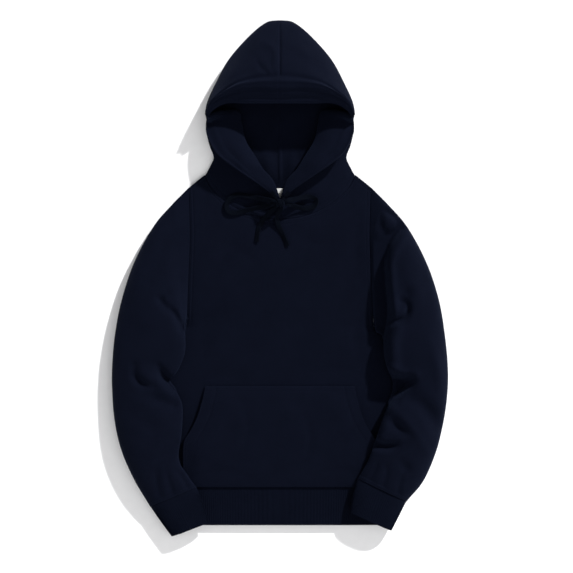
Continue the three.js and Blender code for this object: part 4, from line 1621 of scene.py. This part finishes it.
@dataclass
class HoodPanel:
    """One half of the hood, from the opening's edge to the neck seam."""

    side: Side
    wardrobe: Wardrobe
    columns: int = 170
    rows: int = 150
    column_crowding: float = 1.5
    channel: float = 26.0
    seam_depth: float = 3.4
    seam_width: float = 2.8
    seam_row: float = 4.5

    def points(self) -> Array:
        """Lays the panel, one line for each step from the edge to the neck.

        Returns:
            Its points.
        """
        at = 1 - (1 - np.linspace(0.0, 1.0, self.columns)) ** self.column_crowding
        step = np.linspace(0.0, 1.0, self.rows)
        along = Track(tuple(row.at for row in HOOD_ROWS)).weights(at)
        columns = [np.asarray([getattr(row, name) for row in HOOD_ROWS]) for name in HoodRow._fields[1:]]
        lines = np.stack([*(along @ column for column in columns), neck_points(at)])
        points = np.einsum("jk,kix->jix", Track(HOOD_STEPS).weights(step), lines)
        points[..., 0] *= self.side.value
        if self.side is Side.LEFT:
            at, points = at[::-1], points[:, ::-1]
        at, step = np.meshgrid(at, step)
        points = points + grid_normals(points) * self._relief(at, step)[..., None]
        points[..., 2] -= self._drop(points, at, step)
        points[..., 0] = np.maximum(points[..., 0] * self.side.value, 0.0) * self.side.value
        points[:, [0, -1], 0] = 0.0
        points[..., 2] = np.maximum(points[..., 2], 0.0)
        return points

    def _relief(self, at: Array, step: Array) -> Array:
        """Raises the brim's crest and the lip, and hollows the cheek behind its rim.

        Args:
            at: Share of the way from the throat to the crown's seam.
            step: Share of the way from the opening's edge to the neck.

        Returns:
            The outward move at each place.
        """
        brim = BRIM.share(at) * sum(roll.raised(step) for roll in BRIM_ROLLS)
        lip = LIP_ROLL.raised(step) * LIP.share(at)
        return brim + lip + CHEEK.share(at) * sum(roll.raised(step) for roll in CHEEK_ROLLS)

    def _drop(self, points: Array, at: Array, step: Array) -> Array:
        """Draws down the crown's seam and wrinkles, the throat's gathers and the lining's folds.

        Args:
            points: The panel's points.
            at: Share of the way from the throat to the crown's seam.
            step: Share of the way from the opening's edge to the neck.

        Returns:
            The drop at each place.
        """
        x, y = points[..., 0], points[..., 1]
        seam = self.seam_depth * hump(x, 0.0, self.seam_width) * CROWN_SEAM.share(at)
        crown = CROWN_STEPS.share(step) * CROWN.share(at) * (dropped(CROWN_CREASES, x, y) + seam)
        gathers = GATHER_STEPS.share(step) * GATHERS.share(at) * dropped(GATHER_CREASES, x, y)
        lining = LINING_STEPS.share(step) * dropped(LINING_CREASES, x, y)
        return crown + gathers + lining + seam_dip(Edge.LAST_ROW.away(points), 1.0) * (at < 0.5)

    def seams(self) -> list[Seam]:
        """Places the rows of stitches at the opening, the cord's channel, the crown and the neck.

        Returns:
            The rows.
        """
        left = self.side is Side.LEFT
        middle = Edge.FIRST_COLUMN if left else Edge.LAST_COLUMN
        half = (0.5, 0.98) if left else (0.02, 0.5)
        return [
            Seam(Edge.FIRST_ROW, SEAM_ROWS[0], 0.01, 0.99),
            Seam(Edge.FIRST_ROW, self.channel, 0.01, 0.99),
            Seam(middle, self.seam_row, 0.0, 0.62),
            Seam(Edge.LAST_ROW, SEAM_ROWS[0], *half),
        ]

    def build(self) -> list[bpy.types.Object]:
        """Returns:
            The panel and its stitches.
        """
        word = self.side.word
        points = self.points()
        piece = Sheet(f"hood_half_{word}", points, self.wardrobe.fleece, halved=True).build()
        stitching = Stitching(f"stitches_hood_{word}", self.wardrobe.thread)
        thread = stitching.build([(points, self.seams())])
        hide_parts(f"hood_{word}", f"hood_side_{word}")
        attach(piece, "root")
        return [piece, thread]


def knot_end(direction: Point) -> list[Array]:
    """Places where a stretch meets the knot.

    Args:
        direction: The way out of the knot, as its turn and its rise in degrees.

    Returns:
        Two corners, one further out and one just off the knot's surface.
    """
    turn, rise = np.radians(direction[0]), np.radians(direction[1])
    way = np.array([np.cos(rise) * np.cos(turn), np.cos(rise) * np.sin(turn), np.sin(rise)])
    reach = 1 / np.linalg.norm(way / KNOT_HALF)
    further, near = 4 * SEAM_GAP + TAPE_THICK_AT_KNOT, 1.5 * SEAM_GAP
    return [KNOT_CENTRE + way * (reach + off) for off in (further, near)]


@dataclass(frozen=True)
class CordRoute:
    """A stretch of the drawcord, from the knot and, in a loop, back to it.

    Start and end are its ways out of the knot, as turn and rise in degrees.
    """

    name: str
    start: Point
    route: tuple[Place, ...]
    end: Point | None = None

    def corners(self) -> Array:
        """Lists the route's corners, with its ends square to the knot.

        Returns:
            The corners, in order.
        """
        places = [*knot_end(self.start)[::-1], *np.asarray(self.route, float)]
        if self.end is not None:
            places.extend(knot_end(self.end))
        return np.asarray(places)

    def centreline(self, step: float) -> Array:
        """Points at equal steps along the stretch.

        Args:
            step: Distance between points, in millimetres.

        Returns:
            The points, in millimetres.
        """
        fine = catmull_rom(self.corners(), ROUTE_PIECES)
        run = arc_lengths(fine)
        return read_line(np.linspace(0.0, run[-1], max(4, round(run[-1] / step)) + 1), run, fine)


CORD_ROUTES = (
    CordRoute("feed_right", (130, -10), ((-11, 164, 46), (-17, 172, 46.2))),
    CordRoute("feed_left", (50, -10), ((11, 164, 46), (17, 172, 46.2))),
    CordRoute(
        "loop_right",
        (162, 8),
        (
            (-24, 156, 43),
            (-42, 160, 32),
            (-62, 164, 25),
            (-84, 167, 21.6),
            (-99, 160, 20.4),
            (-107, 146, 19.4),
            (-103, 134, 20.2),
            (-88, 131, 20.6),
            (-68, 136, 22),
            (-44, 141, 28),
            (-24, 145, 39.5),
        ),
        (190, -8),
    ),
    CordRoute(
        "loop_left",
        (20, 8),
        (
            (24, 157, 43),
            (42, 161, 32),
            (60, 163, 25),
            (72, 158, 22),
            (70, 146, 21),
            (54, 140, 22),
            (37, 142, 28),
            (22, 146, 39),
        ),
        (-10, -8),
    ),
    CordRoute(
        "tail_right",
        (222, -42),
        ((-13, 138, 35), (-27, 125, 26), (-37, 112, 22), (-44, 95, 21.2), (-47, 73, 20.9)),
    ),
    CordRoute(
        "tail_left",
        (285, -35),
        ((-2, 133, 37), (-6, 119, 26), (-2, 103, 21.8), (7, 84, 21), (15, 64, 20.9)),
    ),
)


@dataclass(frozen=True)
class Knot:
    """The bow's knot: a soft lump of tape with two wraps drawn round it on a slant."""

    material: bpy.types.Material
    squareness: float = 0.85
    fullness: float = 0.93
    slant: Point = (0.93, 0.36)
    wrap_off: float = 0.42
    wrap_width: float = 0.09
    wrap_depth: float = 0.16
    fold_off: float = 0.1
    fold_width: float = 0.16
    fold_depth: float = 0.07

    def build(self) -> bpy.types.Object:
        """Makes the knot.

        Returns:
            The knot.
        """
        deselect()
        bpy.ops.mesh.primitive_uv_sphere_add(segments=64, ring_count=40, radius=1.0, location=(0, 0, 0))
        piece = bpy.context.object
        piece.name = "cord_knot"
        places = np.zeros(len(piece.data.vertices) * 3, np.float32)
        piece.data.vertices.foreach_get("co", places)
        ball = places.reshape(-1, 3).astype(float)
        across = ball @ np.array([self.slant[0], self.slant[1], 0.0])
        along = ball @ np.array([-self.slant[1], self.slant[0], 0.0])
        wraps = sum(hump(across, off, self.wrap_width) for off in (self.wrap_off, -self.wrap_off))
        ends = self.fold_depth * (np.abs(across) > self.wrap_off)
        folds = 1 - ends * hump(along, self.fold_off, self.fold_width)
        size = self.fullness * (1 - self.wrap_depth * wraps) * folds
        shaped = squared_off(ball, self.squareness) * size[:, None] * KNOT_HALF + KNOT_CENTRE + SHIFT
        piece.data.vertices.foreach_set("co", (shaped * MM).astype(np.float32).ravel())
        bpy.ops.object.shade_smooth_by_angle(angle=SMOOTH_ANGLE)
        piece.data.materials.append(self.material)
        return piece


@dataclass
class Drawcord:
    """The flat drawcord's bow: feeds, loops, tails and knot."""

    wardrobe: Wardrobe
    sides: int = 28
    step: float = 1.5
    widening: float = 16.0
    roll: float = 0.55
    roll_length: float = 16.0
    edge_curve: float = 0.8
    face_curve: float = 0.45

    def stretch(self, route: CordRoute) -> tuple[bpy.types.Object, Array]:
        """Makes one stretch as a flat tube.

        Args:
            route: The stretch's route.

        Returns:
            The piece and its centreline in metres.
        """
        line = route.centreline(self.step)
        along = np.gradient(line, axis=0)
        along /= np.linalg.norm(along, axis=1)[:, None]
        flat = np.cross(along, [0.0, 0.0, 1.0])
        flat /= np.linalg.norm(flat, axis=1)[:, None]
        upright = np.cross(flat, along)
        run = np.arange(len(line)) * self.step
        from_knot = np.minimum(run, run[::-1]) if route.end is not None else run
        spread = ease(from_knot / self.widening)
        roll = (self.roll * np.sin(run / self.roll_length) * spread)[:, None]
        level = flat * np.cos(roll) + upright * np.sin(roll)
        up = upright * np.cos(roll) - flat * np.sin(roll)
        half_width = mix(TAPE_WIDTH_AT_KNOT, TAPE_WIDTH, spread) / 2
        half_thick = mix(TAPE_THICK_AT_KNOT, TAPE_THICK, spread) / 2
        angle = np.linspace(0.0, 2 * np.pi, self.sides + 1)
        beside = half_width[:, None] * squared_off(np.cos(angle), self.edge_curve)
        above = half_thick[:, None] * squared_off(np.sin(angle), self.face_curve)
        points = line[:, None] + level[:, None] * beside[..., None] + up[:, None] * above[..., None]
        piece = Sheet(f"cord_{route.name}", points, self.wardrobe.tape, thick=None, closed=True).build()
        return piece, (line + SHIFT) * MM

    def build(self) -> list[bpy.types.Object]:
        """Makes the bow, hides the model's drawcord parts and hangs the new pieces on the root.

        Returns:
            The stretches and the knot.
        """
        made = {route.name: self.stretch(route) for route in CORD_ROUTES}
        knot = Knot(self.wardrobe.tape).build()
        pieces = [piece for piece, _ in made.values()] + [knot]
        for name, (piece, _) in made.items():
            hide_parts(f"drawcord_{name}")
        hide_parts("drawcord_knot")
        for piece in pieces:
            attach(piece, "root")
        return pieces


@dataclass
class NeckLabel:
    """The blank woven label inside the back of the neck, curled up at its lower edge."""

    wardrobe: Wardrobe
    columns: int = 30
    rows: int = 20
    half: float = 27.0
    top: float = 181.0
    bottom: float = 148.0
    thick: float = 0.7
    curl: float = 1.6
    curl_length: float = 12.0
    bulge: float = 0.5
    bulge_x: float = 6.0
    bulge_width: float = 12.0

    def build(self) -> list[bpy.types.Object]:
        """Returns:
            The label.
        """
        across = np.linspace(-self.half, self.half, self.columns)
        x, y = np.meshgrid(across, np.linspace(self.bottom, self.top, self.rows))
        curl = self.curl * ease((self.bottom + self.curl_length - y) / self.curl_length)
        bulge = self.bulge * hump(x, self.bulge_x, self.bulge_width)
        points = np.stack([x, y, CLOTH + SEAM_GAP + self.thick + (curl + bulge)], axis=-1)
        made = Sheet("label_neck", points, self.wardrobe.label, thick=self.thick).build()
        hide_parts("neck_label")
        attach(made, "root")
        return [made]


@dataclass
class Studio:
    """The floor, the lights and the camera over the garment.

    The picture's centre is a measured place, and the frame's side, its level and the floor are in
    metres.
    """

    frame_side: float = 1.146
    centre: Point = (13.0, -16.0)
    lens: float = 135.0
    sensor: float = 36.0
    level: float = 0.018
    surround: float = 0.79
    lean: Place = (0.3, -0.95, 0.0)
    key_strength: float = 5.0
    key_spread: float = 3.0
    key_way: Place = (-1.1, -1.45, -1.0)
    floor_side: float = 12.0
    floor_drop: float = 0.0002

    def camera(self) -> None:
        """Hangs the camera straight above the middle of the picture."""
        data = bpy.data.cameras.new("overhead")
        data.lens = self.lens
        data.sensor_width = self.sensor
        data.clip_end = 50.0
        camera = bpy.data.objects.new("overhead", data)
        bpy.context.scene.collection.objects.link(camera)
        middle = (np.array([*self.centre, 0.0]) + SHIFT) * MM
        height = self.level + self.frame_side * self.lens / self.sensor
        camera.location = (middle[0], middle[1], height)
        bpy.context.scene.camera = camera

    def surroundings(self) -> None:
        """Sets a pale surround, brighter below the garment than above it."""
        world = bpy.data.worlds.new("studio")
        world.use_nodes = True
        tree = world.node_tree
        background = tree.nodes["Background"]
        background.inputs["Color"].default_value = (1.0, 1.0, 1.0, 1.0)
        way = tree.nodes.new("ShaderNodeTexCoord")
        lean = tree.nodes.new("ShaderNodeVectorMath")
        lean.operation = "DOT_PRODUCT"
        lean.inputs[1].default_value = self.lean
        level = tree.nodes.new("ShaderNodeMath")
        level.operation = "MULTIPLY_ADD"
        level.inputs[1].default_value = self.surround
        level.inputs[2].default_value = self.surround
        tree.links.new(way.outputs["Generated"], lean.inputs[0])
        tree.links.new(lean.outputs["Value"], level.inputs[0])
        tree.links.new(level.outputs["Value"], background.inputs["Strength"])
        bpy.context.scene.world = world

    def key(self) -> None:
        """Adds one key light from the upper right, and keeps the colours plain."""
        key = bpy.data.lights.new("key", "SUN")
        key.energy = self.key_strength
        key.angle = math.radians(self.key_spread)
        lamp = bpy.data.objects.new("key", key)
        bpy.context.scene.collection.objects.link(lamp)
        lamp.rotation_mode = "QUATERNION"
        lamp.rotation_quaternion = Vector(self.key_way).to_track_quat("-Z", "Y")
        bpy.context.scene.view_settings.view_transform = "Standard"

    def floor(self) -> None:
        """Lays the floor."""
        deselect()
        bpy.ops.mesh.primitive_plane_add(size=self.floor_side, location=(0.0, 0.0, -self.floor_drop))
        floor = bpy.context.object
        floor.name = "floor"
        floor.data.materials.append(PlainFinish("floor_paper", PALE_FLOOR, 0.9, grain=60.0).build())


def main() -> None:
    """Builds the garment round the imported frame."""
    logging.basicConfig(level=logging.INFO, format="%(name)s: %(message)s")
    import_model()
    studio = Studio()
    studio.camera()
    wardrobe = Wardrobe()
    builders: list[Callable[[], list[bpy.types.Object]]] = [
        Drawcord(wardrobe).build,
        Panels(wardrobe).build,
        HemBand(wardrobe).build,
        Pocket(wardrobe).build,
        *(Sleeve(side, wardrobe).build for side in Side),
        *(HoodPanel(side, wardrobe).build for side in Side),
        NeckLabel(wardrobe).build,
    ]
    for build in builders:
        for piece in build():
            LOG.info("%s: %d faces", piece.name, len(piece.data.polygons))
    studio.surroundings()
    studio.key()
    studio.floor()


if __name__ == "__main__":
    main()
